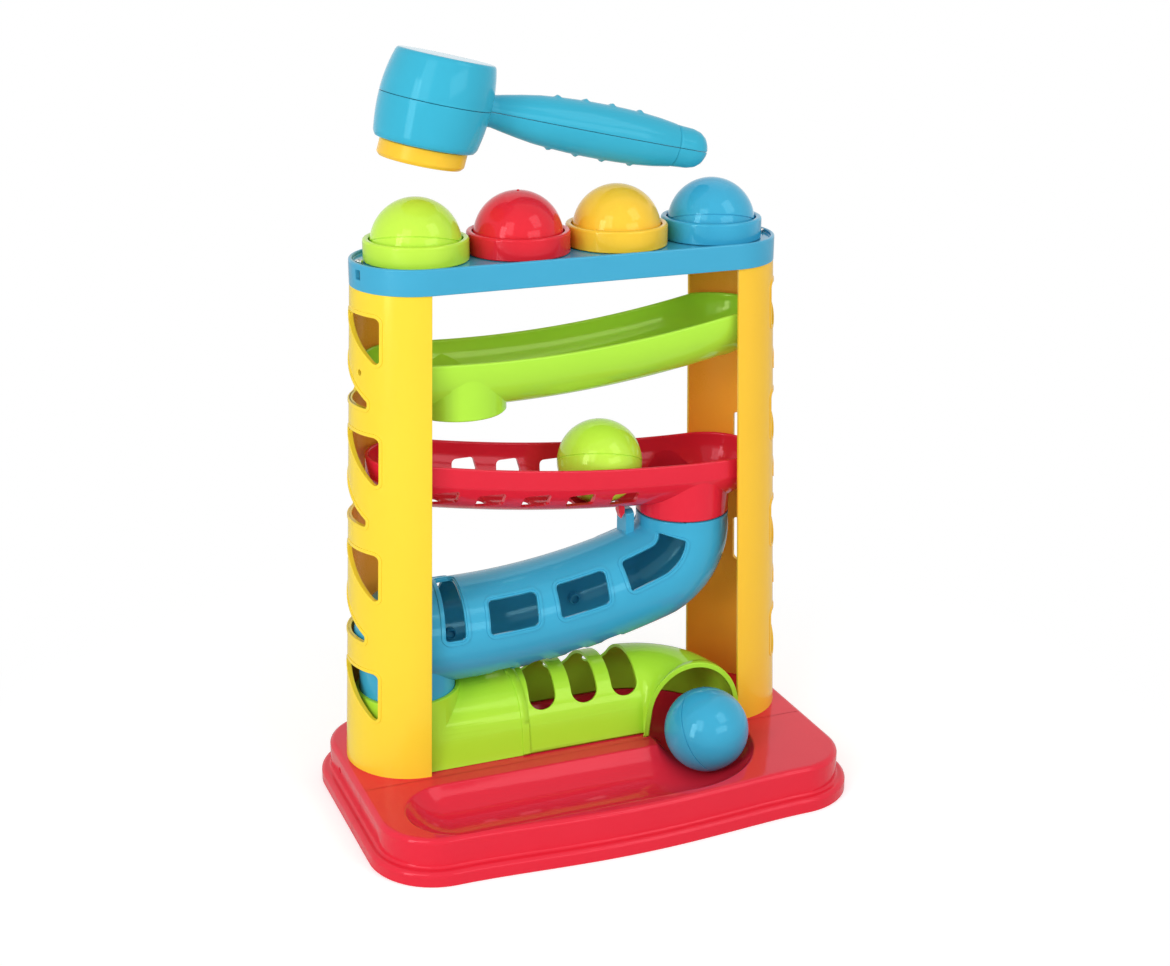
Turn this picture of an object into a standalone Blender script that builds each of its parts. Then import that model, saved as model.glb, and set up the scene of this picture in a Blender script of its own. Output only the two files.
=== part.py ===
"""Ball pounding bench: balls are struck through rings in a raised plate and roll down inside the tower."""

import math

import bmesh
import bpy
from mathutils import Matrix, Vector

for old in list(bpy.data.objects):
    bpy.data.objects.remove(old, do_unlink=True)

# Fits and the ball that everything else is sized for
GAP = 0.0003
OVERRUN = 0.004
BALL_DIAMETER = 0.045
BALL_WALL = 0.0016
BALL_RADIUS = BALL_DIAMETER / 2
RUN_PLAY = 0.0015
BORE_PLAY = 0.0007

# Rings that hold the balls
RING_WALL = 0.0030
RING_PLAY = 0.0005
RING_HEIGHT = 0.0108
RING_SPACING = 0.0010
RING_NECK_WALL = 0.0014
RING_NECK_DROP = 0.0083
BALL_SINK = 0.0031
RING_BORE = BALL_RADIUS + RING_PLAY
RING_RADIUS = RING_BORE + RING_WALL
NECK_RADIUS = RING_BORE + RING_NECK_WALL
BALL_PITCH = 2 * RING_RADIUS + RING_SPACING

# Finger collars clipped under the rings
FINGER_WALL = 0.0020
FINGER_LENGTH = 0.0040
FINGER_SLOT = 0.0016
COLLAR_WALL = 0.0017

# Top plate
PLATE_EDGE = 0.0060
PLATE_END_EXTRA = 0.0011
PLATE_HEIGHT = 0.0131
PLATE_SKIRT = 0.0020
PLATE_RECESS = 0.0018
PLATE_FLOOR = 0.0022
END_RADIUS = RING_RADIUS + PLATE_EDGE
END_CENTRE = 1.5 * BALL_PITCH + PLATE_END_EXTRA

# End columns
COLUMN_HEIGHT = 0.2521
COLUMN_WALL = 0.0022
COLUMN_TOP_INSET = 0.0014
COLUMN_SPREAD = 0.0070
COLUMN_FLARE = 0.0034
TONGUE_WALL = 0.0022
TONGUE_HEIGHT = 0.0070
TONGUE_ROOT = 0.0060
WINDOW_WIDTH_SHARE = 0.677
WINDOW_SLANT_END = 0.0095
WINDOW_TOP_SHARES = (0.9556, 0.7192, 0.4772, 0.2225)
WINDOW_HEIGHT_SHARES = (0.0972, 0.1047, 0.1039, 0.1091)
PARTNER_FOOT_SHARES = (0.7739, 0.5323, 0.2852)
PARTNER_HEIGHT_SHARE = 0.1070
PARTNER_FRONT_SHARE = 0.0140
PARTNER_REACH = 0.0150
LUG_HALF_WIDTH = 0.0075
LUG_HEIGHT = 0.0080

# Base
BASE_HALF_LENGTH = 0.1270
BASE_FRONT_REACH = 0.0975
BASE_REAR_REACH = 0.0500
BASE_BOW = 0.0055
BASE_CORNER = 0.0300
DECK_HEIGHT = 0.0236
FLANGE_HEIGHT = 0.0080
FLANGE_STEP = 0.0050
BASE_WALL = 0.0022
DECK_FILLET = 0.0040
SEAM_REACH = 0.0360
CHANNEL_DEPTH = 0.0136
CHANNEL_HALF_WIDTH = 0.0256
CHANNEL_OVERRUN = 0.0010
TROUGH_REACH = 0.0700
TROUGH_END = 0.0870
BEND_RADIUS = 0.0275
BEND_CENTRE_X = 0.0340
COVER_HEIGHT = 0.0032
STUD_RADIUS = 0.0040
STUD_X = 0.1150
STUD_FRONT_Y = -0.0425
STUD_REAR_Y = 0.0200

# Gutters
GUTTER_WALL = 0.0020
GUTTER_SIDE = 0.0020
GUTTER_END_CENTRE = 0.0820
UPPER_BEND = 0.6067
UPPER_LOW_X = -0.0422
UPPER_LOW_SHARE = 0.8537
MIDDLE_BEND = 0.8090
MIDDLE_LOW_X = 0.0800
MIDDLE_LOW_SHARE = 0.5914
SPOUT_WALL = 0.0018
UPPER_SPOUT_X = -0.0600
UPPER_SPOUT_FOOT_SHARE = 0.7374
MIDDLE_SPOUT_X = 0.0670
MIDDLE_SPOUT_FOOT_SHARE = 0.4605
GUTTER_WINDOW_LENGTH = 0.0145
GUTTER_WINDOW_PITCH = 0.0246
GUTTER_WINDOW_COUNT = 5
GUTTER_WINDOW_START = -0.0755
GUTTER_WINDOW_FRONT_DROP = 0.0138
GUTTER_WINDOW_REAR_DROP = 0.0087
GUTTER_WINDOW_HEIGHT = 0.0077
GUTTER_BALL_X = 0.0183

# Tube and tunnel
TUBE_WALL = 0.0020
TUBE_PLAY = 0.0028
OUTLET_X = -0.0900
TUBE_LEVEL_END = -0.0620
OUTLET_LAP = 0.0115
TUBE_LIFT = 0.0004
ELBOW_PIVOT = 0.0010
ELBOW_TURN = math.radians(17)
PARTING_SHARE = 0.36
TUBE_SILL_SHARE = 0.13
TUBE_WINDOW_SHARE = 0.76
TUBE_WINDOW_STARTS = (-0.0540, -0.0155, 0.0220)
TUBE_WINDOW_ENDS = (-0.0225, 0.0155, 0.0490)
TUBE_CROWN_START = -0.0775
TUBE_CROWN_END = -0.0625
CROWN_REACH = 0.0040
TUNNEL_WALL = 0.0020
TUNNEL_FOOT_HALF = 0.0300
TUNNEL_RADIUS = 0.0280
TUNNEL_RISE = 0.0385
CREASE_HEIGHT = 0.0155
TUNNEL_SEAM_X = -0.0357
TUNNEL_TURN_X = 0.0330
TUNNEL_MOUTH_REACH = 0.0340
TUNNEL_MOUTH_INNER = -0.0010
TUNNEL_MOUTH_OUTER = 0.0554
SLOT_WIDTH = 0.0148
SLOT_PITCH = 0.0235
SLOT_START = -0.0214
SLOT_SILL = 0.0226
SLOT_COUNT = 3

# Hammer
HAMMER_X = -0.0668
HAMMER_RISE = 0.0452
HAMMER_TILT = math.radians(12.6)
HEAD_LENGTH = 0.0430
HEAD_END_RADIUS = 0.0240
HEAD_MID_RADIUS = 0.0272
HEAD_WALL = 0.0022
HANDLE_LENGTH = 0.1440
NECK_HALF = 0.0077
GRIP_HALF = 0.0137
HANDLE_WIDTH_SHARE = 0.90
PAD_RADIUS = 0.0214
PAD_HEIGHT = 0.0084
PAD_SPIGOT = 0.0050
SPIGOT_LENGTH = 0.0060
PAD_EDGE = 0.0015

# Screws
SCREW_RADIUS = 0.0015
SCREW_HEAD = 0.0028
SCREW_HEAD_HEIGHT = 0.0016
SCREW_LENGTH = 0.0100
BOSS_HEIGHT = 0.0140
PLATE_SCREW_SHARE = 0.8625
PLATE_SCREW_RADIUS = 0.0009
PLATE_SCREW_HEAD = 0.0020
PLATE_BOSS_RADIUS = 0.0020

# Levels that follow from the sizes above
TOWER_Y = (BASE_FRONT_REACH + BASE_BOW - BASE_REAR_REACH) / 2
COLUMN_FOOT = DECK_HEIGHT + GAP
COLUMN_TOP = COLUMN_FOOT + COLUMN_HEIGHT
COLUMN_TOP_CENTRE = END_CENTRE + COLUMN_TOP_INSET
COLUMN_TOP_RADIUS = END_RADIUS - COLUMN_TOP_INSET
PLATE_BOTTOM = COLUMN_TOP + GAP
PLATE_TOP = PLATE_BOTTOM + PLATE_HEIGHT
FLOOR_TOP = PLATE_TOP - PLATE_RECESS
FLOOR_BOTTOM = FLOOR_TOP - PLATE_FLOOR
RING_FOOT = FLOOR_TOP + GAP
RING_TOP = RING_FOOT + RING_HEIGHT
BALL_Z = RING_TOP - BALL_SINK
GUTTER_BORE = BALL_RADIUS + RUN_PLAY
GUTTER_RADIUS = GUTTER_BORE + GUTTER_WALL
SPOUT_BORE = BALL_RADIUS + BORE_PLAY
SPOUT_RADIUS = SPOUT_BORE + SPOUT_WALL
CHANNEL_FLOOR = DECK_HEIGHT - CHANNEL_DEPTH
CHANNEL_RADIUS = (CHANNEL_HALF_WIDTH**2 + CHANNEL_DEPTH**2) / (2 * CHANNEL_DEPTH)
TUBE_BORE = BALL_RADIUS + TUBE_PLAY
TUBE_RADIUS = TUBE_BORE + TUBE_WALL
TUNNEL_TOP = DECK_HEIGHT + TUNNEL_RISE
TUBE_LOW_Z = TUNNEL_TOP + TUBE_LIFT + TUBE_RADIUS
HAMMER_Z = BALL_Z + BALL_RADIUS + HAMMER_RISE

# How far out from the last full section the sections of a rounded end lie, in shares of its radius
END_SHARES = (0.97, 0.82, 0.52)
EASE_SHARE = 1 - math.sqrt(0.5)

RED, DEEP_RED = (0.80, 0.03, 0.05, 1), (0.78, 0.03, 0.03, 1)
YELLOW, ORANGE = (0.95, 0.65, 0.05, 1), (0.93, 0.50, 0.03, 1)
GREEN, BLUE, STEEL = (0.45, 0.80, 0.03, 1), (0.06, 0.42, 0.66, 1), (0.6, 0.6, 0.6, 1)

parts = bpy.data.collections.new("ball_pounding_bench")
cutters = bpy.data.collections.new("cutters")
for collection in (parts, cutters):
    bpy.context.scene.collection.children.link(collection)


def empty(name, location, parent=None):
    """An unseen handle that pieces are parented to, so that they turn or slide about it."""
    handle = bpy.data.objects.new(name, None)
    handle.location = location
    handle.parent = parent
    bpy.context.scene.collection.objects.link(handle)
    return handle


tower = empty("tower", (0, TOWER_Y, 0))


def plastic(name, colour, roughness=0.25, metallic=0.0):
    """A moulded plastic, or a metal, as a Principled material."""
    made = bpy.data.materials.new(name)
    made.use_nodes = True
    shader = made.node_tree.nodes["Principled BSDF"]
    shader.inputs["Base Color"].default_value = colour
    shader.inputs["Roughness"].default_value = roughness
    shader.inputs["Metallic"].default_value = metallic
    return made


def place(name, mesh, material=None, location=(0, 0, 0), parent=tower):
    """A mesh as a part when it has a material, or as an unseen cutter when it has none."""
    body = bpy.data.objects.new(name, mesh)
    body.location = location
    body.parent = parent
    if material is None:
        cutters.objects.link(body)
        body.hide_render = True
        body.display_type = "WIRE"
    else:
        parts.objects.link(body)
        mesh.materials.append(material)
    return body


def combine(body, other, operation="DIFFERENCE"):
    """Cuts the other shape out of the body, or joins it on with UNION."""
    modifier = body.modifiers.new(other.name, "BOOLEAN")
    modifier.object = other
    modifier.operation = operation
    modifier.solver = "EXACT"
    return body


def join(body, other):
    """Adds the other shape to the body."""
    return combine(body, other, "UNION")


def loft(name, rows):
    """Skins closed rings of points, one after another, and caps both ends."""
    grid = bmesh.new()
    made = [[grid.verts.new(point) for point in row] for row in rows]
    count = len(rows[0])
    for i in range(len(rows) - 1):
        for j in range(count):
            k = (j + 1) % count
            grid.faces.new((made[i][j], made[i][k], made[i + 1][k], made[i + 1][j]))
    grid.faces.new(list(reversed(made[0])))
    grid.faces.new(made[-1])
    bmesh.ops.recalc_face_normals(grid, faces=grid.faces)
    mesh = bpy.data.meshes.new(name)
    grid.to_mesh(mesh)
    grid.free()
    return mesh


def turned(name, profile, steps, material=None, location=(0, 0, 0), parent=tower):
    """A closed outline of (radius, height) points, top to bottom along its outer side, turned about Z."""
    mesh = bpy.data.meshes.new(name)
    points = [(radius, 0, height) for radius, height in profile]
    edges = [(i, (i + 1) % len(points)) for i in range(len(points))]
    if profile[0][0] == 0 and profile[-1][0] == 0:
        edges.pop()
    mesh.from_pydata(points, edges, [])
    body = place(name, mesh, material, location, parent)
    screw = body.modifiers.new("turn", "SCREW")
    screw.angle = 2 * math.pi
    screw.steps = screw.render_steps = steps
    screw.use_merge_vertices = True
    screw.merge_threshold = GAP / 10
    screw.use_smooth_shade = True
    return body


def cylinder(name, radius, low, high, centre=(0, 0), sides=24, top_radius=None, parent=tower):
    """An upright cylinder or cone between two heights."""
    solid = bmesh.new()
    bmesh.ops.create_cone(
        solid, cap_ends=True, segments=sides, radius1=radius,
        radius2=radius if top_radius is None else top_radius, depth=high - low,
    )
    mesh = bpy.data.meshes.new(name)
    solid.to_mesh(mesh)
    solid.free()
    return place(name, mesh, None, (*centre, (low + high) / 2), parent)


def block(name, low, high, parent=tower):
    """A box between two corners."""
    solid = bmesh.new()
    bmesh.ops.create_cube(solid, size=1)
    size = Vector(high) - Vector(low)
    bmesh.ops.transform(solid, matrix=Matrix.Diagonal(size).to_4x4(), verts=solid.verts)
    mesh = bpy.data.meshes.new(name)
    solid.to_mesh(mesh)
    solid.free()
    return place(name, mesh, None, (Vector(low) + Vector(high)) / 2, parent)


def outline_block(name, points, low, high, axis="Z", material=None):
    """A flat outline given a thickness from low to high along an axis: a filled 2D curve as a mesh."""
    curve = bpy.data.curves.new(name, "CURVE")
    curve.dimensions = "2D"
    curve.fill_mode = "BOTH"
    curve.extrude = (high - low) / 2
    spline = curve.splines.new("POLY")
    spline.points.add(len(points) - 1)
    for knot, (u, v) in zip(spline.points, points):
        knot.co = (u, v, 0, 1)
    spline.use_cyclic_u = True
    holder = bpy.data.objects.new(name, curve)
    bpy.context.scene.collection.objects.link(holder)
    view = bpy.context.evaluated_depsgraph_get()
    mesh = bpy.data.meshes.new_from_object(holder.evaluated_get(view))
    bpy.data.objects.remove(holder, do_unlink=True)
    mesh.materials.clear()
    solid = bmesh.new()
    solid.from_mesh(mesh)
    bmesh.ops.remove_doubles(solid, verts=solid.verts, dist=GAP / 100)
    middle = (low + high) / 2
    turn = Matrix.Identity(4)
    if axis == "X":
        turn = Matrix(((0, 0, 1, middle), (1, 0, 0, 0), (0, 1, 0, 0), (0, 0, 0, 1)))
    elif axis == "Y":
        turn = Matrix(((1, 0, 0, 0), (0, 0, 1, middle), (0, 1, 0, 0), (0, 0, 0, 1)))
    else:
        turn = Matrix.Translation((0, 0, middle))
    bmesh.ops.transform(solid, matrix=turn, verts=solid.verts)
    bmesh.ops.recalc_face_normals(solid, faces=solid.faces)
    solid.to_mesh(mesh)
    solid.free()
    return place(name, mesh, material)


def arc(centre, radius, start, end, steps):
    """Points along an arc in a plane, ends included."""
    angles = [start + (end - start) * i / steps for i in range(steps + 1)]
    return [(centre[0] + radius * math.cos(a), centre[1] + radius * math.sin(a)) for a in angles]


def stadium(centre, radius, steps=16):
    """The outline of a bar with round ends, along X."""
    right = arc((centre, 0), radius, -math.pi / 2, math.pi / 2, steps)
    return right + arc((-centre, 0), radius, math.pi / 2, 3 * math.pi / 2, steps)


# Balls: two moulded halves each, open towards each other
SEGMENTS = 20
BALL_SEGMENTS = 16


def ball_half(name, side, material, parent):
    """The upper or lower half shell of a ball about its own centre."""
    inner = BALL_RADIUS - BALL_WALL
    profile = []
    for radius, order in ((BALL_RADIUS, range(4, -1, -1)), (inner, range(5))):
        for i in order:
            lift = math.pi / 2 * i / 4
            reach = 0 if i == 4 else radius * math.cos(lift)
            profile.append((reach, side * max(GAP / 2, radius * math.sin(lift))))
    if side < 0:
        profile.reverse()
    return turned(name, profile, BALL_SEGMENTS, material, parent=parent)


def ball(name, centre, material, parent=tower):
    """A ball of two halves on a handle at its centre."""
    handle = empty(name, centre, parent)
    ball_half(name + "_upper", 1, material, handle)
    ball_half(name + "_lower", -1, material, handle)
    return handle


paints = {
    "green": plastic("green_plastic", GREEN),
    "red": plastic("red_plastic", RED),
    "yellow": plastic("orange_yellow_plastic", ORANGE),
    "blue": plastic("blue_plastic", BLUE),
}
RING_COLOURS = ("green", "red", "yellow", "blue")


def ring_x(index):
    """The X place of a ring, counted from the left."""
    return (index - (len(RING_COLOURS) - 1) / 2) * BALL_PITCH


# Rings, finger collars and the balls they hold
NECK_FOOT = RING_FOOT - RING_NECK_DROP
for index, colour in enumerate(RING_COLOURS):
    at = (ring_x(index), 0, 0)
    turned(
        "ring_" + colour,
        [
            (RING_BORE, RING_TOP), (RING_RADIUS, RING_TOP), (RING_RADIUS, RING_FOOT),
            (NECK_RADIUS, RING_FOOT), (NECK_RADIUS, NECK_FOOT), (RING_BORE, NECK_FOOT),
        ],
        SEGMENTS, paints[colour], at,
    )
    collar_bore = NECK_RADIUS + GAP
    collar_radius = collar_bore + COLLAR_WALL
    ledge = NECK_FOOT - GAP
    collar_foot = ledge - FINGER_WALL
    finger_top = ledge + FINGER_LENGTH
    tip_drop = BALL_Z - finger_top
    tip_radius = math.sqrt((BALL_RADIUS + GAP) ** 2 - tip_drop**2)
    collar = turned(
        "finger_collar_" + colour,
        [
            (collar_bore, FLOOR_BOTTOM - GAP), (collar_radius, FLOOR_BOTTOM - GAP),
            (collar_radius, collar_foot), (tip_radius, collar_foot), (tip_radius, finger_top),
            (RING_BORE - GAP, finger_top), (RING_BORE - GAP, ledge), (collar_bore, ledge),
        ],
        SEGMENTS, plastic("finger_plastic_" + colour, ORANGE, 0.4), at,
    )
    for number in range(3):
        slot = block(
            f"slot_{colour}_{number}",
            (-RING_BORE, -FINGER_SLOT / 2, collar_foot - OVERRUN),
            (RING_BORE, FINGER_SLOT / 2, finger_top + OVERRUN),
        )
        slot.location.x += at[0]
        slot.rotation_euler.z = math.pi * (number + 0.5) / 3
        combine(collar, slot)
    ball(colour + "_ball", (at[0], 0, BALL_Z), paints[colour])

# Top plate: a cap with a recessed floor and a hole under each ring
plate_blue = plastic("plate_blue", BLUE)
plate_plan = stadium(END_CENTRE, END_RADIUS)
inside_plan = stadium(END_CENTRE, END_RADIUS - PLATE_SKIRT)
plate = outline_block("top_plate", plate_plan, PLATE_BOTTOM, PLATE_TOP, material=plate_blue)
combine(plate, outline_block("plate_recess", inside_plan, FLOOR_TOP, PLATE_TOP + OVERRUN))
combine(plate, outline_block("plate_hollow", inside_plan, PLATE_BOTTOM - OVERRUN, FLOOR_BOTTOM))
for index in range(len(RING_COLOURS)):
    hole = cylinder(
        f"plate_hole_{index}", NECK_RADIUS + GAP, FLOOR_BOTTOM - OVERRUN, FLOOR_TOP + OVERRUN,
        (ring_x(index), 0), SEGMENTS,
    )
    combine(plate, hole)
for side, name in ((-1, "left"), (1, "right")):
    screw_x = side * (END_CENTRE + PLATE_SCREW_SHARE * END_RADIUS)
    combine(plate, cylinder(
        "plate_screw_hole_" + name, PLATE_SCREW_RADIUS + GAP,
        FLOOR_BOTTOM - OVERRUN, FLOOR_TOP + OVERRUN, (screw_x, 0), 12,
    ))


def screw(name, at, radius, head, up, material):
    """A pan-headed screw on its seat, with its head on top where up is 1, underneath where it is -1."""
    profile = [
        (0, SCREW_HEAD_HEIGHT), (head, SCREW_HEAD_HEIGHT), (head, 0), (radius, 0),
        (radius, -SCREW_LENGTH), (0, -SCREW_LENGTH),
    ]
    if up < 0:
        profile = [(across, -height) for across, height in reversed(profile)]
    return turned(name, profile, 12, material, at)


steel = plastic("screw_steel", STEEL, 0.35, 1.0)


# Columns: half-round shells, wider at the foot, with slanted windows, a tongue into the plate
# and lugs for the gutters
def column_row(side, share, height):
    """The closed outline of a column's wall at a share of the way up."""
    centre = COLUMN_TOP_CENTRE + COLUMN_SPREAD * (1 - share)
    radius = COLUMN_TOP_RADIUS + COLUMN_FLARE * (1 - share)
    quarter = math.pi / 2
    outline = arc((centre, 0), radius, -quarter, quarter, 16)
    outline += arc((centre, 0), radius - COLUMN_WALL, quarter, -quarter, 16)
    return [(side * x, y, height) for x, y in outline]


def end_block(name, side, outer, wall, low, high):
    """A half ring about the plate's end centre."""
    quarter = math.radians(70)
    outline = arc((END_CENTRE, 0), outer, -quarter, quarter, 12)
    outline += arc((END_CENTRE, 0), outer - wall, quarter, -quarter, 12)
    return outline_block(name, [(side * x, y) for x, y in outline], low, high)


def gutter_rim(x, low_x, bend, low_share):
    """The height of a gutter's rim, which sags like a wide bow."""
    return COLUMN_FOOT + low_share * COLUMN_HEIGHT + (x - low_x) ** 2 / (2 * bend)


UPPER_RUN = (UPPER_LOW_X, UPPER_BEND, UPPER_LOW_SHARE)
MIDDLE_RUN = (MIDDLE_LOW_X, MIDDLE_BEND, MIDDLE_LOW_SHARE)
yellow = plastic("column_yellow", YELLOW)
for side, name in ((-1, "left"), (1, "right")):
    rows = [column_row(side, 0, COLUMN_FOOT), column_row(side, 1, COLUMN_TOP)]
    column = place(name + "_column", loft(name + "_column", rows), yellow)
    far = COLUMN_TOP_CENTRE + COLUMN_SPREAD + COLUMN_TOP_RADIUS + COLUMN_FLARE + OVERRUN
    low, high = sorted((side * COLUMN_TOP_CENTRE, side * far))
    for index, (top, height) in enumerate(zip(WINDOW_TOP_SHARES, WINDOW_HEIGHT_SHARES)):
        top_z = COLUMN_FOOT + top * COLUMN_HEIGHT
        tip_z = top_z - height * COLUMN_HEIGHT
        edge = WINDOW_WIDTH_SHARE * (COLUMN_TOP_RADIUS + COLUMN_FLARE * (1 - top))
        outline = [(-edge, tip_z), (WINDOW_SLANT_END, top_z), (-edge, top_z)]
        combine(column, outline_block(f"{name}_window_{index}", outline, low, high, "X"))
        if index < len(PARTNER_FOOT_SHARES):
            foot_z = COLUMN_FOOT + PARTNER_FOOT_SHARES[index] * COLUMN_HEIGHT
            tall_z = foot_z + PARTNER_HEIGHT_SHARE * COLUMN_HEIGHT
            front_z = foot_z + PARTNER_FRONT_SHARE * COLUMN_HEIGHT
            outline = [(-PARTNER_REACH, foot_z), (edge, foot_z), (edge, tall_z), (-PARTNER_REACH, front_z)]
            combine(column, outline_block(f"{name}_partner_{index}", outline, low, high, "X"))
    tongue_radius = END_RADIUS - PLATE_SKIRT - GAP
    root = end_block(
        name + "_tongue_root", side, tongue_radius + COLUMN_WALL / 2, TONGUE_WALL + COLUMN_WALL,
        COLUMN_TOP - TONGUE_ROOT, COLUMN_TOP - GAP,
    )
    join(column, root)
    join(column, end_block(
        name + "_tongue", side, tongue_radius, TONGUE_WALL,
        COLUMN_TOP - TONGUE_ROOT / 2, COLUMN_TOP + TONGUE_HEIGHT,
    ))
    screw_x = side * (END_CENTRE + PLATE_SCREW_SHARE * END_RADIUS)
    boss_top = FLOOR_BOTTOM - GAP
    at = (screw_x, 0)
    join(column, cylinder(name + "_boss", PLATE_BOSS_RADIUS, boss_top - BOSS_HEIGHT, boss_top, at, 12))
    combine(column, cylinder(
        name + "_boss_hole", PLATE_SCREW_RADIUS + GAP, boss_top - SCREW_LENGTH, boss_top + OVERRUN, at, 12,
    ))
    seat = (screw_x, 0, FLOOR_TOP + GAP)
    screw("plate_screw_" + name, seat, PLATE_SCREW_RADIUS, PLATE_SCREW_HEAD, 1, steel)
    for run, label in ((UPPER_RUN, "upper"), (MIDDLE_RUN, "middle")):
        rim = gutter_rim(side * GUTTER_END_CENTRE, *run)
        reach = GUTTER_END_CENTRE + END_SHARES[0] * GUTTER_RADIUS + GAP
        share = (rim - COLUMN_FOOT) / COLUMN_HEIGHT
        shell = COLUMN_TOP_CENTRE + COLUMN_TOP_RADIUS + (COLUMN_SPREAD + COLUMN_FLARE) * (1 - share)
        near, away = sorted((side * reach, side * (shell - COLUMN_WALL / 2)))
        join(column, block(
            f"{name}_{label}_lug",
            (near, -LUG_HALF_WIDTH, rim - GUTTER_SIDE - LUG_HEIGHT),
            (away, LUG_HALF_WIDTH, rim - GUTTER_SIDE),
        ))


# Base: a stepped box in two pieces along a seam, hollow underneath, with the balls' path sunk into its deck
def base_outline(grow):
    """The plan of the base, grown outwards by a length: a bowed front and four round corners."""
    corner = BASE_CORNER + grow
    straight = BASE_HALF_LENGTH - BASE_CORNER
    front = -BASE_FRONT_REACH - grow
    rear = BASE_REAR_REACH + grow
    points = []
    for i in range(13):
        share = i / 6 - 1
        points.append((share * straight, front - BASE_BOW * (1 - share**2) ** 2))
    points += arc((straight, front + corner), corner, -math.pi / 2, 0, 6)[1:]
    points += arc((straight, rear - corner), corner, 0, math.pi / 2, 6)
    points += arc((-straight, rear - corner), corner, math.pi / 2, math.pi, 6)
    points += arc((-straight, front + corner), corner, math.pi, 3 * math.pi / 2, 6)[:-1]
    return points


def channel(name, extra, top):
    """The balls' path as a solid: a landing, two bends and the front trough, widened by extra."""
    radius = CHANNEL_RADIUS + extra
    centre_z = CHANNEL_FLOOR + CHANNEL_RADIUS
    half = math.sqrt(radius**2 - (centre_z - top) ** 2)
    turn_y = TROUGH_REACH - BEND_RADIUS
    stations = []
    for share in END_SHARES:
        stations.append((OUTLET_X - share * half, 0, 0, share * half))
    stations.append((OUTLET_X, 0, 0, 0))
    for i in range(9):
        heading = -math.pi / 2 * i / 8
        x = BEND_CENTRE_X - BEND_RADIUS * math.sin(heading)
        stations.append((x, -BEND_RADIUS + BEND_RADIUS * math.cos(heading), heading, 0))
    for i in range(9):
        heading = -math.pi / 2 * (1 + i / 8)
        x = BEND_CENTRE_X - BEND_RADIUS * math.sin(heading)
        stations.append((x, -turn_y + BEND_RADIUS * math.cos(heading), heading, 0))
    stations.append((-TROUGH_END, -TROUGH_REACH, -math.pi, 0))
    for share in reversed(END_SHARES):
        stations.append((-TROUGH_END - share * half, -TROUGH_REACH, -math.pi, share * half))
    rows = []
    for x, y, heading, shrink in stations:
        bore = math.sqrt(radius**2 - shrink**2)
        spread = math.acos((centre_z - top) / bore)
        row = []
        for i in range(9):
            angle = spread * (i / 4 - 1)
            across = bore * math.sin(angle)
            row.append((
                x - across * math.sin(heading), y + across * math.cos(heading),
                centre_z - bore * math.cos(angle),
            ))
        rows.append(row)
    return place(name, loft(name, rows))


deck_red = plastic("base_red", RED)
layers = [
    (FLANGE_STEP, 0), (FLANGE_STEP, FLANGE_HEIGHT), (0, FLANGE_HEIGHT), (0, DECK_HEIGHT - DECK_FILLET),
    (-EASE_SHARE * DECK_FILLET, DECK_HEIGHT - EASE_SHARE * DECK_FILLET), (-DECK_FILLET, DECK_HEIGHT),
]
ceiling = DECK_HEIGHT - BASE_WALL
far = BASE_HALF_LENGTH + BASE_FRONT_REACH
for name, low_y, high_y in (
    ("front_tray", -SEAM_REACH - GAP / 2, far),
    ("rear_deck", -far - BASE_FRONT_REACH, -SEAM_REACH + GAP / 2),
):
    rows = [[(x, y, height) for x, y in base_outline(grow)] for grow, height in layers]
    body = place(name, loft(name, rows), deck_red)
    cavity = outline_block(name + "_cavity", base_outline(-BASE_WALL), -OVERRUN, ceiling)
    combine(cavity, channel(name + "_channel_wall", BASE_WALL, ceiling + BASE_WALL / 4))
    combine(body, cavity)
    combine(body, channel(name + "_channel", 0, DECK_HEIGHT + CHANNEL_OVERRUN))
    combine(body, block(name + "_rest", (-far, low_y, -OVERRUN), (far, high_y, DECK_HEIGHT + OVERRUN)))
    stud_y = STUD_FRONT_Y if name == "front_tray" else STUD_REAR_Y
    foot = COVER_HEIGHT + GAP
    for side, end in ((-1, "left"), (1, "right")):
        at = (side * STUD_X, stud_y)
        join(body, cylinder(f"{name}_stud_{end}", STUD_RADIUS, foot, ceiling + BASE_WALL / 2, at, 12))
        combine(body, cylinder(
            f"{name}_pilot_{end}", SCREW_RADIUS + GAP, foot - OVERRUN, foot + SCREW_LENGTH, at, 12,
        ))
        seat = (*at, SCREW_HEAD_HEIGHT)
        screw(f"cover_screw_{name}_{end}", seat, SCREW_RADIUS, SCREW_HEAD, -1, steel)

cover_red = plastic("cover_red", DEEP_RED, 0.5)
cover = outline_block("base_cover", base_outline(-BASE_WALL - GAP), 0, COVER_HEIGHT, material=cover_red)
for stud_y in (STUD_FRONT_Y, STUD_REAR_Y):
    for stud_x in (-STUD_X, STUD_X):
        at = (stud_x, stud_y)
        combine(cover, cylinder("cover_hole", SCREW_RADIUS + GAP, -OVERRUN, COVER_HEIGHT + OVERRUN, at, 12))
        combine(cover, cylinder("cover_sink", SCREW_HEAD + GAP, -OVERRUN, SCREW_HEAD_HEIGHT + GAP, at, 12))


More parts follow.
